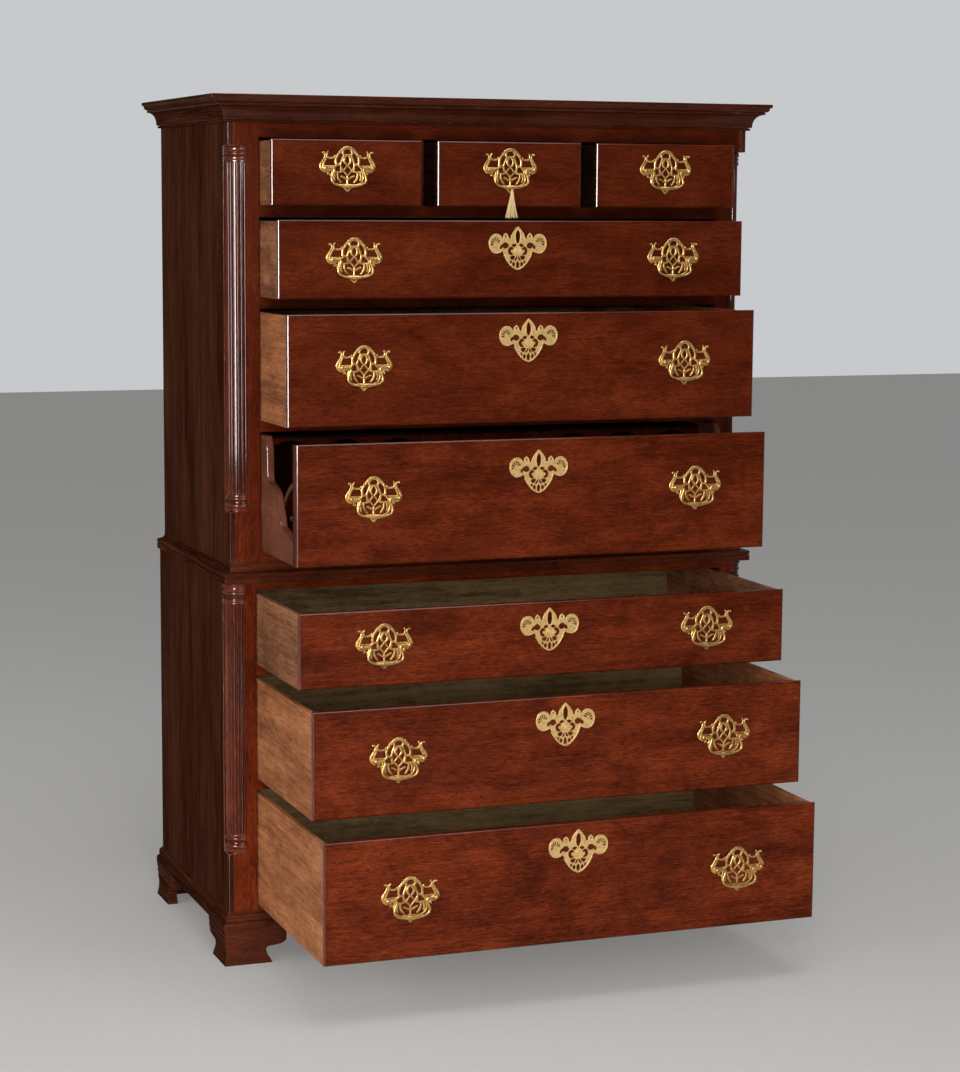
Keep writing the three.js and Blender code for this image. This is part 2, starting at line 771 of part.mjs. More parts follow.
// The rows of one chest, numbered from the top of the whole piece downwards
function addLongDrawer(parent, chest, index, number, pull, handleHeight) {
  const row = chest.rows[index];
  const bottom = row.bottom + drawerRise;
  const span = narrowed([-chest.openingHalf, chest.openingHalf]);
  const group = openGroup(parent, pull);
  const solid = drawerSolid(span, chest.front, bottom, row.height);
  addMesh(group, `drawer_${number}`, geometryFrom(solid), mahogany);
  addHandle(group, `${number}_left`, -handleSpread, chest.front, bottom + handleHeight);
  addHandle(group, `${number}_right`, handleSpread, chest.front, bottom + handleHeight);
  addEscutcheon(group, number, chest.front, bottom + row.height, escutcheonDrop);
}

function addDesk(parent, chest, index, number, pull, handleHeight) {
  const row = chest.rows[index];
  const bottom = row.bottom + drawerRise;
  const span = narrowed([-chest.openingHalf, chest.openingHalf]);
  const group = openGroup(parent, pull);
  const desk = deskSolid(span, chest.front, bottom, row.height);
  addMesh(group, 'secretaire_drawer', geometryFrom(desk), sideMahogany);
  const fall = fallSolid(span, chest.front, bottom, row.height);
  addMesh(group, 'fall_front', geometryFrom(fall), mahogany);
  addHandle(group, `${number}_left`, -handleSpread, chest.front, bottom + handleHeight);
  addHandle(group, `${number}_right`, handleSpread, chest.front, bottom + handleHeight);
  addEscutcheon(group, number, chest.front, bottom + row.height, deskEscutcheonDrop);
}

function addTopDrawers(parent, chest, pull, handleHeight) {
  const index = chest.rows.length - 1;
  const row = chest.rows[index];
  const bottom = row.bottom + drawerRise;
  const nextTop = chest.rows[index - 1].bottom + drawerRise + chest.rows[index - 1].height;
  const sides = ['left', 'middle', 'right'];
  rowOpenings(chest.openingHalf, topDrawerCount).forEach((opening, place) => {
    const group = openGroup(parent, pull);
    const span = narrowed(opening);
    const solid = drawerSolid(span, chest.front, bottom, row.height);
    const label = `1_${sides[place]}`;
    addMesh(group, `drawer_${label}`, geometryFrom(solid), mahogany);
    const centre = place === 1 ? (span[0] + span[1]) / 2 : handleSpread * (place - 1);
    const hang = addHandle(group, label, centre, chest.front, bottom + handleHeight);
    if (place === 1) {
      addTassel(group, hang, nextTop + tasselClearance);
    }
  });
}

const chest = new THREE.Group();
addMesh(chest, 'lower_carcass', geometryFrom(carcass(lowerChest)), sideMahogany);
addMesh(chest, 'upper_carcass', geometryFrom(carcass(upperChest)), sideMahogany);
addMouldings(chest);
addColumns(chest, upperChest, 'upper');
addColumns(chest, lowerChest, 'lower');
addFeet(chest);
addTopDrawers(chest, upperChest, upperDrawerPulls.at(-1), upperHandleHeights.at(-1));
addLongDrawer(chest, upperChest, 2, 2, upperDrawerPulls[2], upperHandleHeights[2]);
addLongDrawer(chest, upperChest, 1, 3, upperDrawerPulls[1], upperHandleHeights[1]);
addDesk(chest, upperChest, 0, 4, upperDrawerPulls[0], upperHandleHeights[0]);
addLongDrawer(chest, lowerChest, 2, 5, lowerDrawerPulls[2], lowerHandleHeights[2]);
addLongDrawer(chest, lowerChest, 1, 6, lowerDrawerPulls[1], lowerHandleHeights[1]);
addLongDrawer(chest, lowerChest, 0, 7, lowerDrawerPulls[0], lowerHandleHeights[0]);

// The origin lies on the floor under the middle of the open chest
const bounds = new THREE.Box3().setFromObject(chest);
const middle = bounds.getCenter(new THREE.Vector3());
chest.position.set(-middle.x, -middle.y, 0);

const group = new THREE.Group();
group.add(chest);

export default group;
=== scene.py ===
# A mahogany chest on chest with its drawers standing open: its finishes, its fine
# mouldings and columns, its drawer boards and its brasses, with a plain studio round it.
import json
import math
import random

import bmesh
import bpy
from mathutils import Matrix, Vector


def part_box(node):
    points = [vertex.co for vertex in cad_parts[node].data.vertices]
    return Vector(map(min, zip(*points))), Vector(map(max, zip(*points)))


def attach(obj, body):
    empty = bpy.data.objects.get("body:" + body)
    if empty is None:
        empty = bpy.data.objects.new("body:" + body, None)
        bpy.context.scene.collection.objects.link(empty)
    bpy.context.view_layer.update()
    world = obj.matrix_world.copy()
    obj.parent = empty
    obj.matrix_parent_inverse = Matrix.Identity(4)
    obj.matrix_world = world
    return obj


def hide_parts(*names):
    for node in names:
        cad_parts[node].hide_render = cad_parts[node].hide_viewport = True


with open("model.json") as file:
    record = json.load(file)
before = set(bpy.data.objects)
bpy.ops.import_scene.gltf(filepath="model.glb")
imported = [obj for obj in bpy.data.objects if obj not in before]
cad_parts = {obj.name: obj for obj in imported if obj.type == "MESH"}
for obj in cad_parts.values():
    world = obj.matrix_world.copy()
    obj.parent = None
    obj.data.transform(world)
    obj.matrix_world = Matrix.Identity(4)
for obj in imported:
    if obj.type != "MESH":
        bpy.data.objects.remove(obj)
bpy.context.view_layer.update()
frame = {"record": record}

mm = 0.001


# One output of a node; sums of wires add Math nodes

class Wire:
    def __init__(self, tree, socket=None):
        self.tree = tree
        self.socket = socket

    def add(self, kind, settings=None, values=None, output=0):
        made = self.tree.nodes.new("ShaderNode" + kind)
        for key, value in (settings or {}).items():
            if key == "stops":
                self.setStops(made.color_ramp, value)
            else:
                setattr(made, key, value)
        for key, value in (values or {}).items():
            self.plug(value, made.inputs[key])
        return Wire(self.tree, made.outputs[output])

    def setStops(self, ramp, stops):
        while len(ramp.elements) < len(stops):
            ramp.elements.new(1)
        for element, (position, shade) in zip(ramp.elements, stops):
            element.position = position
            element.color = (*shade, 1)

    def plug(self, value, socket):
        if isinstance(value, Wire):
            self.tree.links.new(value.socket, socket)
        else:
            socket.default_value = value

    def maths(self, operation, first, second=0.0):
        return self.add("Math", {"operation": operation}, {0: first, 1: second})

    def __add__(self, other):
        return self.maths("ADD", self, other)

    def __radd__(self, other):
        return self.maths("ADD", other, self)

    def __sub__(self, other):
        return self.maths("SUBTRACT", self, other)

    def __rsub__(self, other):
        return self.maths("SUBTRACT", other, self)

    def __mul__(self, other):
        return self.maths("MULTIPLY", self, other)

    def __rmul__(self, other):
        return self.maths("MULTIPLY", other, self)


def startMaterial(name):
    material = bpy.data.materials.new(name)
    material.use_nodes = True
    return material, Wire(material.node_tree), material.node_tree.nodes["Principled BSDF"]


def mixed(amount, first, second, kind="MIX"):
    first, second = [
        value if isinstance(value, Wire) else (*value, 1) for value in (first, second)
    ]
    settings = {"data_type": "RGBA", "blend_type": kind}
    return amount.add("Mix", settings, {0: amount, 6: first, 7: second}, output=2)


def noise(place, scale, detail=2.0, roughness=0.5, distortion=0.0):
    stretched = place.add("VectorMath", {"operation": "MULTIPLY"}, {0: place, 1: scale})
    return place.add("TexNoise", {}, {
        "Vector": stretched, "Scale": 1, "Detail": detail, "Roughness": roughness,
        "Distortion": distortion,
    })


def between(value, low, high):
    return value.add("MapRange", {"interpolation_type": "SMOOTHSTEP"}, {
        "Value": value, "From Min": low, "From Max": high,
    })


def partOf(place, axis):
    return place.add("SeparateXYZ", {}, {0: place}, output="xyz".index(axis))


def dress(start, shader, inputs, bump=None):
    # the shader's own sockets, and a bump of (height, strength, distance)
    if bump:
        values = dict(zip(("Height", "Strength", "Distance"), bump))
        inputs = {**inputs, "Normal": start.add("Bump", {}, values)}
    for name, value in inputs.items():
        start.plug(value, shader.inputs[name])


# Wood: fine streaks along the grain, broad darker figure, pores, a rubbed polish that is partly
# painted highlight, and painted shade up the chest

grainTurns = {
    "x": (0, 0, 0),
    "y": (0, 0, math.pi / 2),
    "z": (0, math.pi / 2, 0),
}

frontLook = {
    "dark": (0.04, 0.0056, 0.0015),
    "middle": (0.112, 0.0152, 0.0036),
    "light": (0.212, 0.0365, 0.009),
    "heightShade": 0.52,
    "shares": (0.38, 0.14, 0.27, 0.21),
    "streaks": (60, 560, 560),
    "long": (9, 190, 190),
    "pores": (85, 660, 660),
    "figure": (3.6, 10, 10),
    "cloud": (13, 20, 20),
    "poreDepth": 0.75,
    "roughness": (0.22, 0.34),
    "specular": 0.1,
    "coat": 0.0,
    "coatRoughness": 0.16,
    "bump": 0.1,
}

beadLook = dict(
    frontLook,
    roughness=(0.14, 0.22),
    specular=0.5,
    coat=0.6,
    coatRoughness=0.1,
)

columnLook = dict(
    frontLook,
    middle=(0.13, 0.0185, 0.005),
    light=(0.24, 0.044, 0.012),
    roughness=(0.2, 0.3),
    specular=0.1,
    coat=0.7,
    coatRoughness=0.06,
    bump=0.03,
)

# Painted shade for the column's flute hollows and the grooves between its rings
paintedShadeTones = {
    "dark": (0.018, 0.0036, 0.0012),
    "middle": (0.048, 0.0078, 0.0024),
    "light": (0.086, 0.016, 0.005),
}

# A darker, greyer copy of the front mahogany: painted shade for the case sides, with a painted
# grey sheen
shadedSideLook = dict(
    frontLook,
    heightShade=0.0,
    dark=(0.02, 0.0052, 0.0022),
    middle=(0.052, 0.016, 0.0082),
    light=(0.096, 0.033, 0.017),
    figure=(1.6, 12, 12),
    cloud=(2.2, 26, 26),
    streaks=(12, 300, 300),
    roughness=(0.4, 0.55),
    specular=0.0,
    coat=0.0,
)

mouldingLook = dict(
    frontLook,
    dark=(0.024, 0.005, 0.0018),
    middle=(0.084, 0.015, 0.0046),
    light=(0.15, 0.03, 0.0095),
    roughness=(0.26, 0.38),
    specular=0.18,
    coat=0.18,
    coatRoughness=0.12,
)

# The mouldings' side runs: a darker copy in painted shade
shadedMouldingSideLook = dict(
    shadedSideLook,
    middle=(0.056, 0.016, 0.0076),
    light=(0.1, 0.033, 0.0155),
    figure=(2.0, 40, 40),
    cloud=(3.0, 70, 70),
)

# Rubbed edges: glossier, with pale rubbed patches that are partly real wear and partly painted
# highlight
wornGlintLook = dict(
    beadLook,
    specular=1.0,
)

oakLook = {
    "dark": (0.1, 0.038, 0.015),
    "middle": (0.27, 0.1, 0.043),
    "light": (0.43, 0.195, 0.09),
    "heightShade": 0.0,
    "shares": (0.34, 0.22, 0.24, 0.2),
    "streaks": (30, 420, 420),
    "long": (5, 120, 120),
    "pores": (80, 900, 900),
    "figure": (3.0, 14, 14),
    "cloud": (14, 26, 26),
    "poreDepth": 0.45,
    "roughness": (0.55, 0.75),
    "specular": 0.1,
    "coat": 0.0,
    "coatRoughness": 0.4,
    "bump": 0.35,
}

paleLook = dict(
    oakLook,
    dark=(0.16, 0.054, 0.02),
    middle=(0.395, 0.138, 0.052),
    light=(0.6, 0.25, 0.104),
)

insideLook = dict(
    oakLook,
    dark=(0.15, 0.086, 0.036),
    middle=(0.34, 0.215, 0.096),
    light=(0.48, 0.315, 0.15),
)

deskLook = dict(
    frontLook,
    dark=(0.08, 0.022, 0.011),
    middle=(0.19, 0.06, 0.033),
    light=(0.3, 0.115, 0.066),
    roughness=(0.3, 0.42),
    specular=0.08,
    coat=0.0,
)

# Near black: painted shade for faces that lie in shadow
paintedShadeLook = dict(
    shadedSideLook,
    dark=(0.008, 0.003, 0.0015),
    middle=(0.02, 0.007, 0.0034),
    light=(0.04, 0.014, 0.0068),
)

# Painted shade: the fronts darken up the chest between these two heights, by each look's share
paintedShadeHeights = (0.25, 1.70)

# What every wood shares: how its grain wanders, and where its tones and pores begin and end
grain = {
    "drift": (2.5, 7, 7),
    "bend": (0, 0.012, 0.012),
    "stops": (0.40, 0.50, 0.615),
    "pores": (0.47, 0.34),
    "bumpDistance": 0.4 * mm,
}

# Wear: the scale of each kind of mark, and where it begins and is full; the rubbed colour is
# partly painted highlight
wearLook = {
    "rubbedGlint": (0.38, 0.175, 0.105),
    "patches": (55, 55, 55),
    "patchLimits": (0.50, 0.66),
    "stain": (5, 9, 9),
    "stainLimits": (0.46, 0.66),
    "speck": (26, 60, 60),
    "speckLimits": (0.62, 0.72),
    "scratch": (3.2, 150, 150),
    "scratchLimits": (0.70, 0.76),
    "dentLimits": (0.30, 0.24),
    "slant": math.radians(24),
}


def wood(name, look, way, rubGlint=0.0, stains=0.0):
    material, start, shader = startMaterial(name)
    place = start.add("TexCoord", output=3)
    along = place.add("Mapping", {}, {"Vector": place, "Rotation": grainTurns[way]})
    drift = noise(along, grain["drift"], 2)
    bent = place.add(
        "VectorMath", {"operation": "MULTIPLY_ADD"}, {0: drift, 1: grain["bend"], 2: along})
    streaks = noise(bent, look["streaks"], 3, 0.65)
    longer = noise(bent, look["long"], 2, 0.6)
    pores = noise(bent, look["pores"], 2, 0.6)
    figure = noise(along, look["figure"], 3, 0.55, 0.8)
    cloud = noise(along, look["cloud"], 3, 0.6, 0.5)
    fine, lines, broad, mottled = look["shares"]
    tone = streaks * fine + longer * lines + figure * broad + cloud * mottled
    stops = list(zip(grain["stops"], (look["dark"], look["middle"], look["light"])))
    shade = tone.add("ValToRGB", {"stops": stops}, {"Fac": tone})
    shade = mixed(between(pores, *grain["pores"]) * look["poreDepth"], shade, look["dark"])
    # painted shade, darker with height up the chest
    shadedUp = between(partOf(place, "z"), *paintedShadeHeights) * look["heightShade"]
    shade = mixed(shadedUp, shade, look["dark"])
    if stains:
        slanted = along
        for turn in ((0, 0, wearLook["slant"]), (0, wearLook["slant"], 0)):
            slanted = place.add("Mapping", {}, {"Vector": slanted, "Rotation": turn})
        stain = noise(along, wearLook["stain"], 4, 0.65, 1.2)
        speck = noise(along, wearLook["speck"], 3, 0.6, 0.6)
        scratch = noise(slanted, wearLook["scratch"], 1, 0.4)
        for mark, limits, tint in (
            (stain, "stainLimits", "dark"), (speck, "speckLimits", "dark"),
            (scratch, "scratchLimits", "light"), (scratch, "dentLimits", "dark"),
        ):
            shade = mixed(between(mark, *wearLook[limits]) * stains, shade, look[tint])
    # pale rubbed patches, partly wear and partly painted highlight
    if rubGlint:
        rub = noise(place, wearLook["patches"], 3, 0.7)
        shade = mixed(between(rub, *wearLook["patchLimits"]) * rubGlint, shade, wearLook["rubbedGlint"])
    low, high = look["roughness"]
    dress(start, shader, {
        "Base Color": shade,
        "Roughness": figure * (high - low) + low,
        "Specular IOR Level": look["specular"],
        "Coat Weight": look["coat"],
        "Coat Roughness": look["coatRoughness"],
    }, (streaks * 0.5 + pores * 0.5, look["bump"], grain["bumpDistance"]))
    return material


# Cast brass: bright where it is rubbed, duller in patches, with faint casting marks

brassLook = {
    "bright": (0.90, 0.57, 0.20),
    "dull": (0.38, 0.20, 0.055),
    "roughness": (0.32, 0.50),
    "marks": (420, 420, 420),
    "patches": (190, 190, 190),
    "bump": 0.25,
    "bumpDistance": 0.3 * mm,
    "dullLimits": (0.44, 0.72),
    "metallic": 0.9,
}

stayLook = dict(
    brassLook,
    bright=(0.30, 0.12, 0.045),
    dull=(0.13, 0.050, 0.020),
    roughness=(0.40, 0.60),
)

escutcheonLook = dict(
    brassLook,
    bright=(0.92, 0.62, 0.25),
    dull=(0.66, 0.41, 0.14),
    roughness=(0.40, 0.52),
    metallic=0.62,
)


def brass(name, look):
    material, start, shader = startMaterial(name)
    place = start.add("TexCoord", output=3)
    marks = noise(place, look["marks"], 2, 0.5)
    dullness = between(noise(place, look["patches"], 3, 0.6), *look["dullLimits"])
    low, high = look["roughness"]
    dress(start, shader, {
        "Base Color": mixed(dullness, look["bright"], look["dull"]),
        "Roughness": dullness * (high - low) + low,
        "Metallic": look["metallic"],
    }, (marks, look["bump"], look["bumpDistance"]))
    return material


# Silk: a fine twist up each cord, painted light and painted shade along the twist

silkLook = {
    "light": (0.82, 0.62, 0.28),
    "shade": (0.52, 0.34, 0.12),
    "twist": 0.0014,
    "slant": (0.8, 0.6),
    "bump": 0.3,
    "bumpDistance": 0.2 * mm,
    "roughness": 0.55,
    "sheen": 0.4,
}


def silk(name, look):
    material, start, shader = startMaterial(name)
    place = start.add("TexCoord", output=3)
    across, along = look["slant"]
    slanted = partOf(place, "z") + partOf(place, "x") * across + partOf(place, "y") * along
    turn = slanted * (2 * math.pi / look["twist"])
    twist = turn.maths("SINE", turn) * 0.5 + 0.5
    # the twist is painted light and shade, lighter on each ridge
    dress(start, shader, {
        "Base Color": mixed(twist, look["shade"], look["light"]),
        "Roughness": look["roughness"],
        "Sheen Weight": look["sheen"],
    }, (twist, look["bump"], look["bumpDistance"]))
    return material


finishes = {
    "frontX": wood("mahogany_front", frontLook, "x"),
    "frontZ": wood("mahogany_upright", frontLook, "z"),
    "beadX": wood("mahogany_bead", dict(beadLook, specular=0.3, coat=0.15), "x"),
    "beadZ": wood("mahogany_bead_upright", beadLook, "z"),
    "wornGlintEdge": wood("mahogany_worn_glint_edge", wornGlintLook, "x", rubGlint=0.45),
    "wornGlintCorner": wood("mahogany_worn_glint_corner", wornGlintLook, "z", rubGlint=0.6),
    "wornGlintMitre": wood("mahogany_worn_glint_mitre", wornGlintLook, "z", rubGlint=0.95),
    "column": wood("mahogany_column", columnLook, "z"),
    "columnShaded": wood("mahogany_column_painted_shade", dict(columnLook, **paintedShadeTones), "z"),
    "sideShaded": wood("mahogany_side_painted_shade", shadedSideLook, "z"),
    "mouldingSideShaded": wood("mahogany_side_moulding_painted_shade", shadedMouldingSideLook, "y"),
    "mouldingX": wood("mahogany_moulding", mouldingLook, "x"),
    "oakY": wood("oak_drawer_side", oakLook, "y", stains=0.55),
    "oakPale": wood("oak_drawer_side_pale", paleLook, "y", stains=0.3),
    "oakShaded": wood("oak_drawer_side_painted_shade", paintedShadeLook, "y"),
    "oakX": wood("oak_drawer_back", insideLook, "x", stains=0.4),
    "oakFloor": wood("oak_drawer_bottom", insideLook, "y", stains=0.4),
    "innerX": wood("oak_inside_across", insideLook, "x", stains=0.5),
    "innerY": wood("oak_inside", insideLook, "y", stains=0.5),
    "innerZ": wood("oak_inside_upright", insideLook, "z", stains=0.5),
    "deskSide": wood("mahogany_desk_side", deskLook, "y", stains=0.35),
    "paintedShade": wood("mahogany_painted_shade", paintedShadeLook, "x"),
    "deskFloor": wood("mahogany_desk_floor", frontLook, "x", stains=0.3),
    "brass": brass("brass_cast", brassLook),
    "brassBright": brass("brass_rubbed", escutcheonLook),
    "stay": brass("brass_stay", stayLook),
    "silk": silk("silk_cord", silkLook),
}
print("finishes made:", len(finishes))


# Modelling steps

def clearSelection():
    if bpy.context.mode != "OBJECT":
        bpy.ops.object.mode_set(mode="OBJECT")
    bpy.ops.object.select_all(action="DESELECT")


def pick(piece):
    clearSelection()
    piece.select_set(True)
    bpy.context.view_layer.objects.active = piece


def named(piece, name):
    piece.name = name
    piece.data.name = name
    return piece


def applyPlace(piece):
    pick(piece)
    bpy.ops.object.transform_apply(location=True, rotation=True, scale=True)
    return piece


def block(name, low, high):
    clearSelection()
    low, high = Vector(low), Vector(high)
    bpy.ops.mesh.primitive_cube_add(size=1, location=(low + high) / 2)
    piece = named(bpy.context.object, name)
    piece.scale = high - low
    return applyPlace(piece)


def outlineFace(name, points):
    clearSelection()
    bpy.ops.mesh.primitive_circle_add(vertices=len(points), radius=1, fill_type="NGON")
    piece = named(bpy.context.object, name)
    for vertex, point in zip(piece.data.vertices, points):
        vertex.co = point
    return piece


def editAll():
    bpy.ops.object.mode_set(mode="EDIT")
    bpy.ops.mesh.select_all(action="SELECT")


def extrude(shift=(0, 0, 0)):
    bpy.ops.mesh.extrude_region_move(TRANSFORM_OT_translate={"value": shift})


def faceOutwards():
    editAll()
    bpy.ops.mesh.remove_doubles(threshold=0.001 * mm)
    bpy.ops.mesh.normals_make_consistent(inside=False)
    bpy.ops.object.mode_set(mode="OBJECT")


def outlinePlate(name, points, depth):
    # a flat face on the given points, pushed out by depth
    piece = outlineFace(name, points)
    editAll()
    extrude(depth)
    faceOutwards()
    return piece


def plateAcross(name, outline, near, far):
    # a board cut to an outline of (y, z), from near to far across
    return outlinePlate(name, [(near, y, z) for y, z in outline], (far - near, 0, 0))


def sweep(name, stations):
    # one outline, carried through further places of the same outline
    piece = outlineFace(name, stations[0])
    editAll()
    for before, after in zip(stations, stations[1:]):
        bpy.ops.object.mode_set(mode="EDIT")
        extrude()
        bpy.ops.object.mode_set(mode="OBJECT")
        for vertex in piece.data.vertices:
            if vertex.select:
                gaps = [(Vector(point) - vertex.co).length for point in before]
                vertex.co = after[gaps.index(min(gaps))]
    faceOutwards()
    return piece


def turned(name, profile, centre=(0, 0, 0), angle=2 * math.pi, steps=20):
    # a profile of (out, up) spun round the upright line through centre
    points = [(centre[0] + out, centre[1], centre[2] + up) for out, up in profile]
    piece = outlineFace(name, points)
    editAll()
    if angle == 2 * math.pi:
        bpy.ops.mesh.delete(type="ONLY_FACE")
        bpy.ops.mesh.select_all(action="SELECT")
    bpy.ops.mesh.spin(steps=steps, angle=angle, center=centre, axis=(0, 0, 1))
    faceOutwards()
    return piece


def standingOut(name, profile, unit, place):
    # a profile of (out, rise), turned and standing out of a front
    line = [(out * unit, rise * unit) for out, rise in profile]
    piece = turned(name, line)
    piece.data.transform(Matrix.Translation(place) @ Matrix.Rotation(math.pi / 2, 4, "X"))
    return piece


def modified(piece, kind, **settings):
    pick(piece)
    modifier = piece.modifiers.new(kind.lower(), kind)
    for key, value in settings.items():
        setattr(modifier, key, value)
    bpy.ops.object.modifier_apply(modifier=modifier.name)
    return piece


def slotOf(piece, finish):
    return piece.data.materials.find(finishes[finish].name) if finish else -1


def rounded(piece, width, segments=2, angle=35, finish=None):
    return modified(
        piece, "BEVEL", width=width, segments=segments, limit_method="ANGLE",
        angle_limit=math.radians(angle), material=slotOf(piece, finish))


def cutBy(piece, tool):
    modified(piece, "BOOLEAN", operation="DIFFERENCE", solver="EXACT", object=tool)
    bpy.data.objects.remove(tool, do_unlink=True)
    return piece


def joined(name, pieces):
    clearSelection()
    for piece in pieces:
        piece.select_set(True)
    bpy.context.view_layer.objects.active = pieces[0]
    if len(pieces) > 1:
        bpy.ops.object.join()
    return named(bpy.context.object, name)


def smooth(piece, angle=30):
    pick(piece)
    bpy.ops.object.shade_smooth_by_angle(angle=math.radians(angle))
    return modified(piece, "WEIGHTED_NORMAL", keep_sharp=True)


def paintWith(piece, *names):
    piece.data.materials.clear()
    for name in names:
        piece.data.materials.append(finishes[name])
    return piece


def paintFaces(piece, choose):
    # choose names the finish of a face, or None to leave it
    for face in piece.data.polygons:
        finish = choose(face)
        if finish:
            face.material_index = slotOf(piece, finish)


def seat(piece, body, node):
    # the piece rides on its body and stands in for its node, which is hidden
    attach(piece, body)
    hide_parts(node)
    return piece


def movedCopy(piece, name, shift):
    made = piece.copy()
    made.data = piece.data.copy()
    bpy.context.scene.collection.objects.link(made)
    made.data.transform(Matrix.Translation(shift))
    return named(made, name)


def mirroredCopy(piece, name):
    made = movedCopy(piece, name, (0, 0, 0))
    made.data.transform(Matrix.Scale(-1, 4, (1, 0, 0)))
    pick(made)
    faceOutwards()
    return made


def curveThrough(points, steps):
    # a smooth line through the points, with steps places between each two
    ends = [points[0], *points, points[-1]]
    line = []
    for before, first, second, after in zip(ends, ends[1:], ends[2:], ends[3:]):
        for step in range(steps):
            t = step / steps
            line.append(tuple(
                0.5 * (2 * b + (c - a) * t + (2 * a - 5 * b + 4 * c - d) * t ** 2
                       + (3 * b - a - 3 * c + d) * t ** 3)
                for a, b, c, d in zip(before, first, second, after)
            ))
    return [*line, tuple(points[-1])]


def arcBand(centre, radii, turns, steps, stretch=1):
    # the outline of a band between two radii: there along one and back along the other
    points = []
    for radius, (start, end) in zip(radii, (turns, turns[::-1])):
        for step in range(steps + 1):
            turn = start + (end - start) * step / steps
            points.append((centre[0] + math.cos(turn) * radius,
                           centre[1] + math.sin(turn) * radius * stretch))
    return points


def roundBars(name, lines, thickness, sides, flatten=1.0, closed=False):
    # bars along lines of (x, y, z, share of the thickness), pressed flatter along Y
    clearSelection()
    curve = bpy.data.curves.new(name, "CURVE")
    curve.dimensions = "3D"
    curve.bevel_depth = thickness
    curve.bevel_resolution = sides
    curve.use_fill_caps = True
    for line in lines:
        spline = curve.splines.new("POLY")
        spline.points.add(len(line) - 1)
        spline.use_cyclic_u = closed
        for point, (*place, share) in zip(spline.points, line):
            point.co = (*place, 1)
            point.radius = share
    piece = bpy.data.objects.new(name, curve)
    bpy.context.scene.collection.objects.link(piece)
    pick(piece)
    bpy.ops.object.convert(target="MESH")
    piece = bpy.context.object
    piece.data.transform(Matrix.Scale(flatten, 4, (0, 1, 0)))
    faceOutwards()
    return piece


def sided(side, near, far):
    # one stretch away from the middle, on the left at -1 and on the right at 1
    return (near, far) if side > 0 else (-far, -near)


def bodyOf(node):
    groups = frame["record"]["behaviour"]["bodies"]
    return next(body for body, nodes in groups.items() if node in nodes)


# Drawers: a mahogany front with cock beads let in round it, oak sides, back and bottom

drawerBoards = {
    "front": 22 * mm,
    "side": 10 * mm,
    "lap": 6 * mm,
    "beadWidth": 3.2 * mm,
    "beadProud": 1.5 * mm,
    "bottom": 7 * mm,
    "bottomRise": 6 * mm,
    "backDrop": 12 * mm,
    "sideDrop": 3 * mm,
    "round": 0.8 * mm,
}

frontFinishes = ("frontX", "wornGlintEdge", "beadX", "beadZ")

# A bead's nose from its outer edge inwards: how far in, and how far back
beadNose = [
    (0, 2.6), (0.35, 2.0), (1.2, 1.15), (2.1, 0.38), (2.6, 0.04), (2.9, 0.06), (3.2, 0.5),
]

keyhole = {
    "width": 6.4 * mm,
    "height": 17 * mm,
    "depth": 9 * mm,
    "drop": 18.8 * mm,
    "round": 2 * mm,
}


def beadFrame(low, high):
    # four strips with a rubbed nose, mitred where they meet
    boards = drawerBoards
    back = boards["beadProud"] + boards["lap"]
    nose = [(inset * mm, depth * mm) for inset, depth in beadNose]
    outline = [(0, back), *nose, (boards["beadWidth"], back)]
    strips = []
    for upright in (True, False):
        for nearSide in (True, False):
            stations = []
            for far in (False, True):
                line = []
                for inset, depth in outline:
                    aside = inset if nearSide else -inset
                    along = -inset if far else inset
                    if upright:
                        x = (low.x if nearSide else high.x) + aside
                        z = (high.z if far else low.z) + along
                    else:
                        x = (high.x if far else low.x) + along
                        z = (low.z if nearSide else high.z) + aside
                    line.append((x, low.y + depth, z))
                stations.append(line)
            strip = paintWith(sweep("bead", stations), *frontFinishes)
            paintFaces(strip, lambda face: "beadZ" if upright else "beadX")
            strips.append(strip)
    return strips


def beadedFront(name, low, high, thickness, keyholeAt, rebate):
    boards = drawerBoards
    inset = boards["beadWidth"]
    face = low.y + boards["beadProud"]
    middle = face + boards["lap"]
    panel = block(
        name, (low.x + inset, face, low.z + inset), (high.x - inset, middle, high.z - inset))
    core = block(
        "core", (low.x + rebate, middle, low.z),
        (high.x - rebate, face + thickness, high.z - boards["beadProud"]))
    for piece in (panel, core):
        if keyholeAt:
            cutBy(piece, keyholeTool(keyholeAt, low.y))
        paintWith(piece, *frontFinishes)
    rounded(core, boards["round"] / 2, angle=40, finish="wornGlintEdge")
    return smooth(joined(name, [panel, core, *beadFrame(low, high)]), 40)


def keyholeTool(centre, face):
    middle = Vector((centre[0], face, centre[1]))
    reach = Vector((keyhole["width"] / 2, keyhole["depth"], keyhole["height"] / 2))
    return rounded(block("keyhole", middle - reach, middle + reach), keyhole["round"], 3)


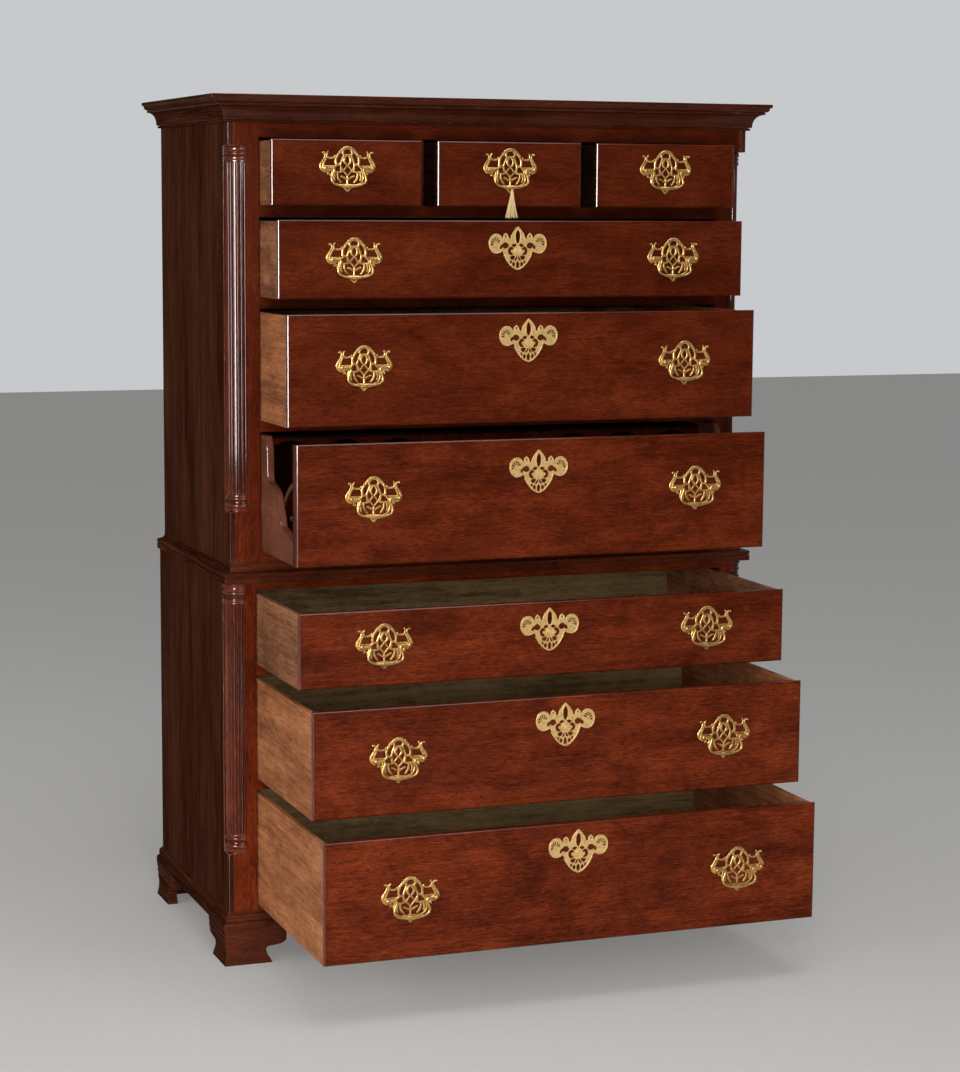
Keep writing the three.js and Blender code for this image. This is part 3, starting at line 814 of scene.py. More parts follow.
def makeDrawer(node, sideFinish, keyholeAt=None):
    boards = drawerBoards
    low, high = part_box(node)
    thick = boards["side"]
    front = beadedFront(node + "_front", low, high, boards["front"], keyholeAt, thick)
    seat(front, bodyOf(node), node)

    left, right = low.x + thick, high.x - thick
    start = low.y + boards["beadProud"] + boards["lap"]
    inside = low.y + boards["beadProud"] + boards["front"]
    sideTop = high.z - boards["sideDrop"]
    backTop = high.z - boards["beadProud"] - boards["backDrop"]
    floor = low.z + boards["bottomRise"]
    overFloor = floor + boards["bottom"]
    sides = [
        ((near, start, low.z), (near + thick, high.y, sideTop))
        for near in (low.x, high.x - thick)
    ]
    back = ((left, high.y - thick, overFloor), (right, high.y, backTop))
    bottom = ((left, inside, floor), (right, high.y, overFloor))
    for label, blocks, finish, width, segments in (
        ("sides", sides, sideFinish, boards["round"], 2),
        ("back", [back], "oakX", boards["round"], 2),
        ("bottom", [bottom], "oakFloor", boards["round"] / 2, 1),
    ):
        piece = joined(f"{node}_{label}", [block(label, *ends) for ends in blocks])
        paintWith(piece, finish)
        smooth(rounded(piece, width, segments))
        seat(piece, bodyOf(node), node)


def keyholePlace(number):
    return (0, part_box(f"escutcheon_{number}")[1].z - keyhole["drop"])


# the middle and right top drawers' sides are near black, painted shade cast by the drawer beside
for side, finish in (("left", "oakY"), ("middle", "oakShaded"), ("right", "oakShaded")):
    makeDrawer(f"drawer_1_{side}", finish)
sideFinishes = {2: "oakY", 3: "oakPale", 5: "oakY", 6: "oakPale", 7: "oakPale"}
for number, finish in sideFinishes.items():
    makeDrawer(f"drawer_{number}", finish, keyholePlace(number))
print("drawers made")


# Both cases: boards with their own grain, sides in a darker painted shade, and worn front edges
# that are partly painted highlight

caseBoards = {
    "side": 11 * mm,
    "back": 12 * mm,
    "rail": 28 * mm,
    "guide": 20 * mm,
    "recess": 37 * mm,
    "topBoard": 20 * mm,
    "backSlats": 5,
    "slatGap": 3 * mm,
    "round": 0.7 * mm,
    "fine": 0.3 * mm,
    "cornerRound": 1.0 * mm,
}


def board(low, high, finish, edge=None, width=caseBoards["round"]):
    piece = paintWith(block("board", low, high), finish, edge or finish)
    return rounded(piece, width, finish=edge)


def makeCase(node, level, rows, openingHalf, dividers):
    boards = caseBoards
    low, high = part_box(node)
    half, front, back = high.x, low.y, high.y
    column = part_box(f"column_{level}_left")
    recess = (column[0].z, column[1].z)
    inside = half - boards["side"]
    depth = back - boards["back"]
    railBack = front + boards["rail"]
    corner = front + boards["recess"]
    outline = [
        (back, low.z), (front, low.z), (front, recess[0]), (corner, recess[0]),
        (corner, recess[1]), (front, recess[1]), (front, high.z), (back, high.z),
    ]
    pieces = []
    for turn in (-1, 1):
        near, far = sided(turn, inside, half)
        side = paintWith(plateAcross("side", outline, near, far), "sideShaded", "wornGlintCorner")
        pieces.append(rounded(side, boards["cornerRound"], finish="wornGlintCorner"))
        for bottom, top, reach, edge in (
            (low.z, recess[0], inside, "beadZ"), (*recess, half - boards["recess"], None),
            (recess[1], high.z, inside, "beadZ"),
        ):
            near, far = sided(turn, openingHalf, reach)
            stile = ((near, front, bottom), (far, railBack, top))
            pieces.append(board(*stile, "frontZ", edge, boards["fine"]))
        near, far = sided(turn, openingHalf, inside)
        for bottom, top in rows:
            pieces.append(board(
                (near, railBack, bottom), (far, depth, bottom + boards["guide"]), "innerY"))
    levels = [low.z, *[level for row in rows for level in row], high.z]
    for index in range(0, len(levels), 2):
        bottom, top = levels[index], levels[index + 1]
        rail = ((-openingHalf, front, bottom), (openingHalf, railBack, top))
        pieces.append(board(*rail, "frontX", None, boards["fine"]))
        if index + 2 == len(levels):
            bottom = top - boards["topBoard"]
        pieces.append(board((-inside, railBack, bottom), (inside, depth, top), "innerX"))
    for near, far in dividers:
        bottom, top = rows[-1]
        pieces.append(board((near, front, bottom), (far, railBack, top), "frontZ"))
        pieces.append(board((near, railBack, bottom), (far, depth, top), "innerY"))
    slats = boards["backSlats"]
    height = (high.z - low.z) / slats
    for index in range(slats):
        bottom = low.z + index * height
        top = bottom + height - (boards["slatGap"] if index + 1 < slats else 0)
        pieces.append(board((-inside, depth, bottom), (inside, back, top), "innerX"))
    seat(smooth(joined(node + "_boards", pieces)), "case", node)


# The openings, from the drawers that fill them
fits = {
    "below": 0.5 * mm,
    "above": 3.5 * mm,
    "beside": 2 * mm,
}


def rowOf(node):
    low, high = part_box(node)
    return low.z - fits["below"], high.z + fits["above"]


def openingHalfOf(node):
    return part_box(node)[1].x + fits["beside"]


makeCase(
    "lower_carcass", "lower", [rowOf(f"drawer_{number}") for number in (7, 6, 5)],
    openingHalfOf("drawer_7"), [],
)
topDividers = [
    (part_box(f"drawer_1_{left}")[1].x + fits["beside"],
     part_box(f"drawer_1_{right}")[0].x - fits["beside"])
    for left, right in (("left", "middle"), ("middle", "right"))
]
makeCase(
    "upper_carcass", "upper",
    [rowOf(name) for name in ("fall_front", "drawer_3", "drawer_2", "drawer_1_left")],
    openingHalfOf("drawer_2"), topDividers,
)
print("cases made")


# Mouldings: one profile each, mitred round the front corners

baseMoulding = {
    "start": (13.2, 0),
    "steps": [
        ("up", (14, 1.5)), ("line", (14, 9)), ("up", (9, 16.2)), ("line", (6.4, 16.4)),
        ("line", (6.4, 17.4)), ("line", (8.1, 17.6)), ("line", (8.1, 25.4)), ("up", (3.6, 31.0)),
        ("line", (1.4, 31.2)), ("line", (1.4, 32.2)), ("line", (2.8, 32.4)), ("line", (2.8, 34)),
    ],
    "back": 0.3,
}

waistMoulding = {
    "start": (5.4, 0),
    "steps": [
        ("across", (6, 1)), ("line", (6, 10.2)), ("up", (5, 11.4)), ("line", (2.9, 11.6)),
        ("line", (2.9, 12.7)), ("line", (4.9, 12.9)), ("across", (6, 14)), ("line", (6, 18.8)),
        ("up", (3.8, 20.8)), ("line", (2.6, 21.0)),
        ("line", (-3.9, 22.4)), ("across", (-11, 33)), ("line", (-11.2, 38)),
    ],
    "back": -17.9,
}

corniceMoulding = {
    "start": (4.8, 0),
    "steps": [
        ("across", (7.4, 2.4)), ("up", (5.8, 4.4)), ("line", (4.0, 4.6)), ("line", (4.0, 5.6)),
        ("line", (9.6, 5.8)), ("line", (9.9, 8.4)), ("up", (27.5, 32.0)), ("line", (30.2, 32.4)),
        ("line", (30.2, 35.8)), ("line", (28.4, 36.0)), ("line", (28.4, 37.0)),
        ("line", (30.6, 37.2)), ("across", (36.8, 44.2)), ("line", (37.2, 45.8)),
        ("line", (41, 46.1)), ("line", (41, 53)),
    ],
    "back": 0.3,
}

profileSteps = 8

# Undersides in painted shade, bevelled arrises, and the rubbed corners between two faces, partly
# painted highlight
groove = {
    "under": 0.93,
    "corner": 0.30,
    "round": 0.35 * mm,
    "angle": 34,
}


def traceProfile(moulding):
    # "up" arcs leave upright, "across" arcs leave level, each a quarter of an oval
    points = [moulding["start"]]
    for kind, (out, up) in moulding["steps"]:
        fromOut, fromUp = points[-1]
        if kind == "line":
            points.append((out, up))
            continue
        for step in range(1, profileSteps + 1):
            turn = step / profileSteps * math.pi / 2
            first, second = math.sin(turn), 1 - math.cos(turn)
            share = (first, second) if kind == "across" else (second, first)
            points.append((
                fromOut + (out - fromOut) * share[0], fromUp + (up - fromUp) * share[1]))
    return points


# faces turned to the sides take the darker painted shade copy, with their grain along Y
def grainAndSideShadeOf(face):
    return "mouldingSideShaded" if abs(face.normal.x) > abs(face.normal.y) else "mouldingX"


def makeMoulding(node, moulding, case):
    caseLow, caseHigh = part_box(case)
    low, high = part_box(node)
    outline = traceProfile(moulding)
    outline = [(moulding["back"], 0), *outline, (moulding["back"], outline[-1][1])]
    stations = []
    for side, end in ((-1, high.y), (-1, None), (1, None), (1, high.y)):
        stations.append([
            (side * (caseHigh.x + out * mm), caseLow.y - out * mm if end is None else end,
             low.z + up * mm)
            for out, up in outline
        ])
    piece = sweep(node + "_profile", stations)
    paintWith(piece, "mouldingX", "mouldingSideShaded", "wornGlintEdge", "wornGlintMitre", "paintedShade")
    # faces looking down are in painted shade
    paintFaces(
        piece, lambda face: "paintedShade" if face.normal.z < -groove["under"] else grainAndSideShadeOf(face))
    rounded(piece, groove["round"], angle=groove["angle"], finish="wornGlintEdge")
    edge = slotOf(piece, "wornGlintEdge")

    # the mitre arrises get the most rubbed colour, partly painted highlight
    def mitre(face):
        slant = min(abs(face.normal.x), abs(face.normal.y))
        return "wornGlintMitre" if face.material_index == edge and slant > groove["corner"] else None

    paintFaces(piece, mitre)
    seat(smooth(piece, 40), "case", node)


makeMoulding("base_moulding", baseMoulding, "lower_carcass")
makeMoulding("waist_moulding", waistMoulding, "lower_carcass")
makeMoulding("cornice", corniceMoulding, "upper_carcass")
print("mouldings made")


# Quarter columns: a fluted shaft between turned rings

columnSizes = {
    "radius": 33.2,
    "flutes": 7,
    "fluteDepth": 3.0,
    "fillet": 0.11,
    "fluteSteps": 8,
    "fluteEnd": 3,
    "plain": 1.5,
    "lap": 0.2,
    "shut": 0.02,
    "shadeDepth": 0.5,
    "lineReach": 0.2,
    "endSteps": 5,
    "spinSteps": 28,
    "ringSteps": 8,
}

# Each ring: its bottom, its top, and how far out its edges and its middle stand from the shaft
upperCap = [
    (0, 9.4, 0.3, 2.5), (10.2, 16.2, 0.1, 2.7), (17.1, 27.7, 0.4, 3.2), (27.7, 28, 0.6, 0.6),
]
upperFoot = [
    (0, 6.6, 2.9, 2.9), (7.2, 14.2, 1.4, 3.4), (15, 21.6, 0.9, -0.9), (22.2, 27.4, 0.3, 2.4),
    (28, 31, 0.9, 1.1),
]
lowerCap = [
    (0, 5, 0.2, 2.5), (5.6, 14.6, 0.1, 0.1), (15.2, 20.6, 0.3, 2.6), (21.2, 29.4, 0.3, 0.9),
    (30, 38, 3.0, 3.3),
]
lowerFoot = [
    (0, 8, 3.0, 3.0), (8.5, 16.2, 1.4, 3.4), (17, 24.4, 0.8, -1.0), (25, 31, 0.3, 2.6),
    (31.6, 35, 0.9, 1.1),
]


def ringLine(rings):
    steps = columnSizes["ringSteps"]
    line = []
    for bottom, top, edge, middle in rings:
        for step in range(steps + 1):
            turn = math.pi * step / steps
            line.append((
                edge + (middle - edge) * math.sin(turn),
                bottom + (top - bottom) * (1 - math.cos(turn)) / 2,
            ))
    return line


def fluteOutline(depth):
    # a quarter circle with its flutes at a share of their full width and depth
    sizes = columnSizes
    points = []
    for flute in range(sizes["flutes"]):
        for step in range(sizes["fluteSteps"] + 1):
            aside = 2 * step / sizes["fluteSteps"] - 1
            across = 0.5 + (0.5 - sizes["fillet"]) * aside * depth
            hollow = sizes["fluteDepth"] * math.sqrt(max(0, 1 - aside ** 2)) * depth
            turn = (flute + across) / sizes["flutes"] * math.pi / 2
            points.append((math.pi + turn, sizes["radius"] - hollow))
    return [(math.pi, sizes["radius"]), *points, (math.pi * 1.5, sizes["radius"])]


def makeColumn(level, cap, foot):
    low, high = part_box(f"column_{level}_left")
    axis = Vector((high.x, high.y, 0))
    sizes = columnSizes

    def ring(rings, bottom):
        line = [((sizes["radius"] + out) * mm, up * mm) for out, up in ringLine(rings)]
        closed = [(0, line[0][1]), *line, (0, line[-1][1])]
        piece = turned("ring", closed, angle=math.pi / 2, steps=sizes["spinSteps"])
        piece.data.transform(Matrix.Translation(axis + Vector((0, 0, bottom)))
                             @ Matrix.Rotation(-math.pi / 2, 4, "Z"))
        return piece

    def station(height, depth):
        points = [(0, 0)] + [
            (math.cos(turn) * radius * mm, math.sin(turn) * radius * mm)
            for turn, radius in fluteOutline(max(depth, sizes["shut"]))
        ]
        return [(axis.x + x, axis.y + y, height) for x, y in points]

    # the flutes end round, just inside the rings
    bottom = low.z + foot[-1][1] * mm
    top = high.z - cap[-1][1] * mm
    lap, plain, end = [sizes[key] * mm for key in ("lap", "plain", "fluteEnd")]
    closing = []
    for step in range(sizes["endSteps"], -1, -1):
        turn = math.pi / 2 * step / sizes["endSteps"]
        closing.append(((1 - math.sin(turn)) * end, math.cos(turn)))
    stations = [station(bottom - lap, 0)]
    stations += [station(bottom + plain + rise, depth) for rise, depth in closing]
    stations += [station(top - plain - rise, depth) for rise, depth in reversed(closing)]
    stations += [station(top + lap, 0)]
    pieces = [sweep("shaft", stations), ring(foot, low.z), ring(cap, top)]
    left = joined(f"column_{level}_left_turned", pieces)
    paintWith(left, "column", "columnShaded")
    hollow = (sizes["radius"] - sizes["shadeDepth"] * sizes["fluteDepth"]) * mm
    line = (sizes["radius"] + sizes["lineReach"]) * mm

    # faces deep in the flutes, and ring faces close to the shaft in the grooves, are in painted
    # shade
    def shadeTheHollows(face):
        reach = (face.center - axis).to_2d().length
        onShaft = bottom - lap <= face.center.z <= top + lap
        return "columnShaded" if reach < (hollow if onShaft else line) else "column"

    paintFaces(left, shadeTheHollows)
    right = mirroredCopy(left, f"column_{level}_right_turned")
    for side, piece in (("left", left), ("right", right)):
        seat(smooth(piece, 32), "case", f"column_{level}_{side}")


makeColumn("upper", upperCap, upperFoot)
makeColumn("lower", lowerCap, lowerFoot)
print("columns made")


# Bracket feet: a moulded face mitred at the corner, cut to its bracket outline

footSizes = {
    "reach": 128,
    "height": 71.7,
    "thickness": 22,
    "block": 46,
    "glueDrop": 0.5,
    "round": 0.5 * mm,
    "blockRound": 2 * mm,
}

# The face, from the top down: how far it stands back, and its height
footFace = [
    (0, 71.7), (0, 63), (2.4, 62.4), (2.4, 60.8), (0.8, 60.2), (0.8, 51), (3.2, 50.4),
    (3.2, 48.8), (1.8, 48.2), (1.6, 41), (2.0, 38.4), (2.6, 35), (3.0, 31), (3.1, 26),
    (2.8, 20), (2.1, 13), (1.3, 8), (0.5, 4.6), (0, 2.4), (0, 0),
]

# The open part beside the foot: along its reach and up its height
footOpening = [
    (0.766, -0.1), (0.764, 0), (0.752, 0.06), (0.735, 0.12), (0.705, 0.2), (0.682, 0.29),
    (0.672, 0.37), (0.68, 0.43), (0.71, 0.465), (0.78, 0.48), (0.86, 0.49), (0.91, 0.51),
    (0.955, 0.545), (0.985, 0.59), (1.0, 0.64), (1.1, 0.64), (1.1, -0.1),
]


def makeFeet():
    sizes = footSizes
    reach, height, thick = [sizes[key] * mm for key in ("reach", "height", "thickness")]
    outline = [(back * mm, up * mm) for back, up in footFace]
    outline = [*outline, (thick, 0), (thick, height)]
    stations = [
        [(reach, back, up) for back, up in outline],
        [(back, back, up) for back, up in outline],
        [(back, reach, up) for back, up in outline],
    ]
    foot = sweep("foot", stations)
    opening = [(along * reach, up * height) for along, up in footOpening]
    across = [(x, -thick, z) for x, z in opening]
    foot = cutBy(foot, outlinePlate("opening", across, (0, thick * 3, 0)))
    foot = cutBy(foot, plateAcross("opening", opening, -thick, thick * 2))
    paintWith(foot, "mouldingX", "mouldingSideShaded", "wornGlintCorner", "paintedShade")

    def footFinish(face):
        # undersides above the drop are in painted shade
        shadedUnderside = face.normal.z < -groove["under"] and face.center.z > sizes["glueDrop"] * height
        return "paintedShade" if shadedUnderside else grainAndSideShadeOf(face)

    paintFaces(foot, footFinish)
    rounded(foot, sizes["round"], 3, 40, "wornGlintCorner")
    inner = sizes["block"] * mm + thick
    glue = block("glue", (thick, thick, height / 2), (inner, inner, height))
    rounded(paintWith(glue, "innerZ"), sizes["blockRound"])
    foot = smooth(joined("foot", [foot, glue]))
    corners = ("front_left", "front_right", "back_right", "back_left")
    for turns, corner in enumerate(corners):
        low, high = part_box("foot_" + corner)
        x = low.x if "left" in corner else high.x
        y = low.y if "front" in corner else high.y
        made = movedCopy(foot, f"foot_{corner}_bracket", (0, 0, 0))
        made.data.transform(
            Matrix.Translation((x, y, 0)) @ Matrix.Rotation(turns * math.pi / 2, 4, "Z"))
        if turns % 2:
            # a quarter turn changes the two grains and the sides' painted shade, its first two
            # slots, over
            for face in made.data.polygons:
                if face.material_index < 2:
                    face.material_index = 1 - face.material_index
        seat(made, "case", "foot_" + corner)
    bpy.data.objects.remove(foot, do_unlink=True)


makeFeet()
print("feet made")


# Secretaire drawer: scrolled sides, a writing floor, pigeonholes and a cupboard

desk = {
    "side": 14,
    "floor": 12,
    "fall": 24,
    "gap": 0.3,
    "beadProud": 1.5,
    "back": 10,
    "backDrop": 12,
    "scrollDepth": 190,
    "headroom": 7.5,
    "depth": 230,
    "board": 6,
    "shelf": 92,
    "cupboard": 200,
    "pilaster": 32,
    "knob": 5.5,
    "play": 0.4,
    "setBack": 1.2,
    "pilasterPlay": 3,
    "pilasterProud": 1.6,
    "round": 1.2,
    "knobInset": 24,
}
holesBeside = 3
scrollSteps = 5

# The sides' front edge: back from the fall, and up from the floor
scrollShares = [
    (0, 0.14), (0.09, 0.16), (0.26, 0.21), (0.42, 0.25), (0.46, 0.31), (0.56, 0.45),
    (0.61, 0.52), (0.74, 0.57), (0.87, 0.6), (0.91, 0.67), (0.92, 0.81), (0.94, 0.92), (1, 1),
]

# Out from the axis and up from the front, in shares of the knob's radius
knobProfile = [
    (0, 0), (0.62, 0), (0.62, 0.18), (0.34, 0.3), (0.3, 0.7), (0.5, 0.95), (0.92, 1.2),
    (1, 1.5), (0.86, 1.8), (0.5, 2.0), (0, 2.05),
]

# A scratched bead round a panel: how far in, and how far back
panel = {
    "steps": ((2.2 * mm, 0.9 * mm), (0.8 * mm, -0.7 * mm)),
    "round": 0.35 * mm,
    "facing": 0.9,
}

# The shaped rail across the head of a pigeonhole
archRail = {
    "rise": 15 * mm,
    "behind": 1 * mm,
    "steps": 12,
    "least": 0.25,
    "power": 1.6,
    "thick": 0.7,
    "round": 0.4 * mm,
}


def panelFront(low, high, finish):
    # a small drawer front or door with a scratched bead round it
    piece = block("panel", low, high)
    bpy.ops.object.mode_set(mode="EDIT")
    mesh = bmesh.from_edit_mesh(piece.data)
    for face in mesh.faces:
        face.select_set(face.normal.y < -panel["facing"])
    bmesh.update_edit_mesh(piece.data)
    for width, move in panel["steps"]:
        bpy.ops.mesh.inset(thickness=width, depth=0)
        extrude((0, move, 0))
    bpy.ops.object.mode_set(mode="OBJECT")
    return rounded(paintWith(piece, finish), panel["round"])


def archBoard(near, far, face, top, thick):
    arch = archRail
    y = face + arch["behind"]
    spring = top - arch["rise"]
    points = [(near, y, top), (near, y, spring)]
    for step in range(1, arch["steps"]):
        share = step / arch["steps"]
        bow = abs(math.cos(share * math.pi)) ** arch["power"]
        drop = arch["rise"] * (arch["least"] + (1 - arch["least"]) * bow)
        points.append((near + (far - near) * share, y, top - drop))
    points += [(far, y, spring), (far, y, top)]
    piece = outlinePlate("arch", points, (0, thick * arch["thick"], 0))
    return rounded(paintWith(piece, "frontX"), arch["round"])


def makeDesk():
    node = "secretaire_drawer"
    low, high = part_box(node)
    sizes = {key: value * mm for key, value in desk.items()}
    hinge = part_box("fall_front")[0].y + sizes["beadProud"] + sizes["fall"]
    floor = low.z + sizes["floor"]
    notch = floor + sizes["gap"]
    floorFront = hinge + sizes["floor"] + sizes["gap"]
    scroll = [
        (hinge + sizes["gap"] + behind * sizes["scrollDepth"], notch + up * (high.z - notch))
        for behind, up in scrollShares
    ]
    outline = [
        (high.y, low.z), (floorFront, low.z), (floorFront, notch), (hinge + sizes["gap"], notch),
        *curveThrough(scroll, scrollSteps), (high.y, high.z),
    ]
    left, right = low.x + sizes["side"], high.x - sizes["side"]
    sides = []
    for near, far in ((low.x, left), (right, high.x)):
        side = paintWith(plateAcross("side", outline, near, far), "deskSide", "wornGlintEdge")
        sides.append(rounded(side, sizes["round"], 3, 40, "wornGlintEdge"))
    seat(smooth(joined(node + "_sides", sides)), node, node)

    back = high.y - sizes["back"]
    face = back - sizes["depth"]
    top = high.z - sizes["headroom"]
    thin = sizes["board"]
    play = sizes["play"]
    holeBottom = floor + sizes["shelf"]
    holeTop = top - thin
    drawerBottom = floor + thin + play
    front = face + sizes["setBack"]
    middle = sizes["cupboard"] / 2
    beside = middle + thin + sizes["pilaster"]
    boards = [
        board((left, floorFront, low.z), (right, high.y, floor), "deskFloor", "wornGlintEdge"),
        # near black painted shade for the back and the ceiling over the pigeonholes
        board((left, back, floor), (right, high.y, high.z - sizes["backDrop"]), "paintedShade"),
        board((left, face, holeTop), (right, back, top), "paintedShade"),
        board((left, face, floor), (right, back, floor + thin), "frontX"),
        board((left, face, holeBottom - thin), (right, back, holeBottom), "frontX"),
    ]
    fronts = []
    knobs = []

    def knobAt(x, z):
        place = (x, front, z)
        knobs.append(paintWith(standingOut("knob", knobProfile, sizes["knob"], place), "brass"))

    pitch = (right - beside) / holesBeside
    for side in (-1, 1):
        def upright(edge):
            near, far = sided(side, edge, edge + thin)
            boards.append(board((near, face, floor), (far, back, holeTop), "frontZ"))

        near, far = sided(side, middle + thin, beside - thin)
        boards.append(board((near, face, floor), (far, face + 2 * thin, holeTop), "frontZ"))
        edge = sizes["pilasterPlay"]
        fronts.append(panelFront(
            (near + edge, face - sizes["pilasterProud"], floor + 3 * thin),
            (far - edge, face + thin, holeTop - 2 * thin), "column"))
        upright(middle)
        upright(beside - thin)
        for index in range(holesBeside):
            start = beside + index * pitch
            end = start + pitch - thin
            upright(end)
            near, far = sided(side, start + play, end - play)
            fronts.append(panelFront(
                (near, front, drawerBottom),
                (far, front + 2 * thin, holeBottom - thin - play), "frontX"))
            knobAt((near + far) / 2, (floor + holeBottom) / 2)
            boards.append(archBoard(near, far, face, holeTop, thin))
    fronts.append(panelFront(
        (play - middle, front, drawerBottom), (middle - play, face + 3 * thin, holeTop - play),
        "frontZ"))
    knobAt(middle - sizes["knobInset"], (floor + holeTop) / 2)
    fitting = smooth(joined(node + "_pigeonholes", [*boards, *fronts]))
    seat(fitting, node, node)
    seat(smooth(joined(node + "_knobs", knobs)), node, node)


# The brass stays: quadrants round the fall's hinge
quadrant = {
    "radius": 150 * mm,
    "width": 10 * mm,
    "thickness": 3 * mm,
    "behind": 3 * mm,
    "turn": math.radians(70),
    "steps": 28,
    "round": 0.6 * mm,
}


def makeFall():
    node = "fall_front"
    low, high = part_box(node)
    thick = desk["fall"] * mm
    hinge = low.y + desk["beadProud"] * mm + thick
    corner = Vector((high.x, hinge, high.z))
    front = beadedFront("fall_board", low, corner, thick, keyholePlace(4), 0)
    seat(front, node, node)

    width, thickness = quadrant["width"], quadrant["thickness"]
    points = arcBand(
        (hinge, low.z + desk["floor"] * mm),
        (quadrant["radius"], quadrant["radius"] - width),
        (math.pi / 2 - quadrant["turn"], math.pi / 2 + width / quadrant["radius"]),
        quadrant["steps"])
    stays = []
    inset = (desk["side"] + desk["gap"]) * mm
    outline = [(max(y, hinge - quadrant["behind"]), z) for y, z in points]
    for near in (low.x + inset, high.x - inset - thickness):
        stay = paintWith(plateAcross("stay", outline, near, near + thickness), "stay")
        stays.append(rounded(stay, quadrant["round"]))
    seat(smooth(joined("fall_stays", stays)), node, node)


makeDesk()
makeFall()
print("secretaire made")


# Cast brasses: openwork backplates, their bails and the escutcheons

castSizes = {
    "thickness": 2 * mm,
    "ridgeLift": 1.7,
    "plateBeadsLift": 1.5,
    "escutcheonBeadsLift": 1.1,
    "round": 0.3 * mm,
    "outlineSteps": 3,
    "holeSteps": 2,
    "holesGrown": 1.22,
    "barSteps": 4,
    "thicken": 1.4,
    "flatten": 0.52,
    "rim": 0.95,
}

# A backplate's bars, from the middle outwards: across, up and radius in millimetres
plateSideBars = [
    [(0, 41.4, 2.2), (5.5, 40.4, 2.2), (11, 37, 2.1), (15.8, 32.2, 2.0), (19.6, 27.4, 1.9),
     (22.6, 22, 1.8), (23.4, 14, 1.7), (22.6, 7, 1.7)],
    [(0, 27.2, 1.3), (5, 27, 1.3), (8.6, 29.4, 1.6), (9.2, 34, 1.6), (6.2, 38, 1.5)],
    [(1.2, 27, 1.3), (4.6, 22.5, 1.6), (6.6, 17.6, 1.9), (4.6, 12, 1.5), (1.2, 8.6, 1.1),
     (-3.4, 4.4, 1.0), (-7, -0.8, 1.0), (-8.6, -3, 1.0)],
    [(7.2, 27, 1.5), (9.6, 22, 1.4), (11.8, 16.6, 1.4), (13.8, 10.4, 1.4), (13.6, 5.5, 1.3),
     (10.4, -0.4, 1.2), (5.6, -6, 1.2), (0, -12.2, 1.4)],
    [(13.8, 8.4, 1.4), (18, 8.6, 1.5), (22.8, 9.4, 1.6)],
    [(13.6, 6, 1.2), (14, 1, 1.1), (12.4, -4.6, 1.1)],
    [(22.6, 7.4, 1.7), (26.6, 4, 1.6), (29.2, -1, 1.4), (31, -8, 1.4), (32.4, -15, 1.3),
     (30.4, -22, 1.3), (25, -27.6, 1.4), (17, -31, 1.5), (9, -33.4, 1.6), (5, -36.4, 1.5),
     (0, -42, 1.5)],
    [(9.4, -3.4, 1.0), (14, -5.4, 1.1), (20, -5.6, 1.1), (27, -5.4, 1.3), (30.2, -5, 1.3)],
    [(0, -19.6, 1.4), (5, -17.2, 1.4), (10, -14.4, 1.3), (14.4, -13.2, 1.0)],
    [(19.6, -5.6, 1.1), (20.4, -11, 1.5), (19, -17, 1.7), (15.6, -22.4, 1.5), (12.6, -26, 1.1)],
    [(24.6, -6, 1.3), (26.6, -11, 1.7), (26.8, -17, 1.5), (25, -22, 1.1)],
    [(0, -30.4, 2.0), (8, -31, 1.9), (17, -31, 1.5)],
    [(22.8, 20.6, 1.4), (25.8, 23, 1.3), (30, 21.6, 1.3), (35, 21.4, 1.3), (39, 22.4, 1.4),
     (41.6, 26, 1.4), (41.2, 30.6, 1.2), (39.6, 33, 1.1)],
    [(50.4, 31.6, 1.3), (46.6, 31.4, 1.3), (44.8, 27, 1.5), (46.8, 21, 1.7), (50.8, 15, 1.8),
     (54, 9, 1.8), (54.4, 3.4, 1.7), (51.4, -2, 1.5), (46.6, -4.8, 1.3), (41.6, -4.4, 1.2),
     (38, -6.6, 1.2), (36, -10, 1.1), (33.6, -12.6, 1.1)],
    [(41.8, 25, 1.4), (43.6, 20.6, 1.4), (46.4, 15, 1.5), (48.8, 9.4, 1.5), (49.4, 4, 1.4)],
    [(22.6, 6.4, 1.5), (28, 5.4, 1.3), (34, 5.2, 1.3), (41, 5.2, 1.4), (49, 5, 1.5)],
    [(29.6, 0.4, 2.0), (36, -0.6, 2.4), (43, -0.6, 2.6), (49.4, 0.8, 2.4)],
]
plateMiddleBars = [
    [(0, -12, 1.3), (0, -20, 1.4), (0, -28, 1.5)],
]
plateBeads = {
    "places": [
        (2.6, 43), (7.8, 41.6), (12.4, 38.4), (16.4, 34), (19.8, 29.4), (25.6, 25.6),
        (50.6, 31.8), (39.8, 33.2), (40.4, -9),
    ],
    "radius": 1.75,
}

# Half outlines, from the top round to the bottom: across and up from the middle
escutcheonOutline = [
    (0, 41.4), (5.2, 37), (9.4, 31.6), (12.6, 26.6), (14.4, 20.6), (17.4, 17.6), (20.4, 20.2),
    (21, 24.6), (24.4, 28), (28.2, 27.2), (30.2, 23.6), (30, 20), (33.6, 19.2), (35.2, 22.6),
    (41, 27), (49.6, 27), (56.4, 22), (60, 13), (58.8, 2), (53.4, -6.4), (45.6, -9.4),
    (37.4, -7.6), (33, -5), (30, -7.2), (27.4, -13.6), (24.4, -20), (20, -26.8), (14.2, -33.4),
    (7.8, -38.4), (0, -41.2),
]
escutcheonMiddleHoles = [
    [(-2.6, 11.8), (-4.3, 18), (-4.3, 27), (-2.6, 32.6), (2.6, 32.6), (4.3, 27), (4.3, 18),
     (2.6, 11.8)],
    [(0, -26), (-2.7, -30), (-2.5, -36), (0, -38), (2.5, -36), (2.7, -30)],
]
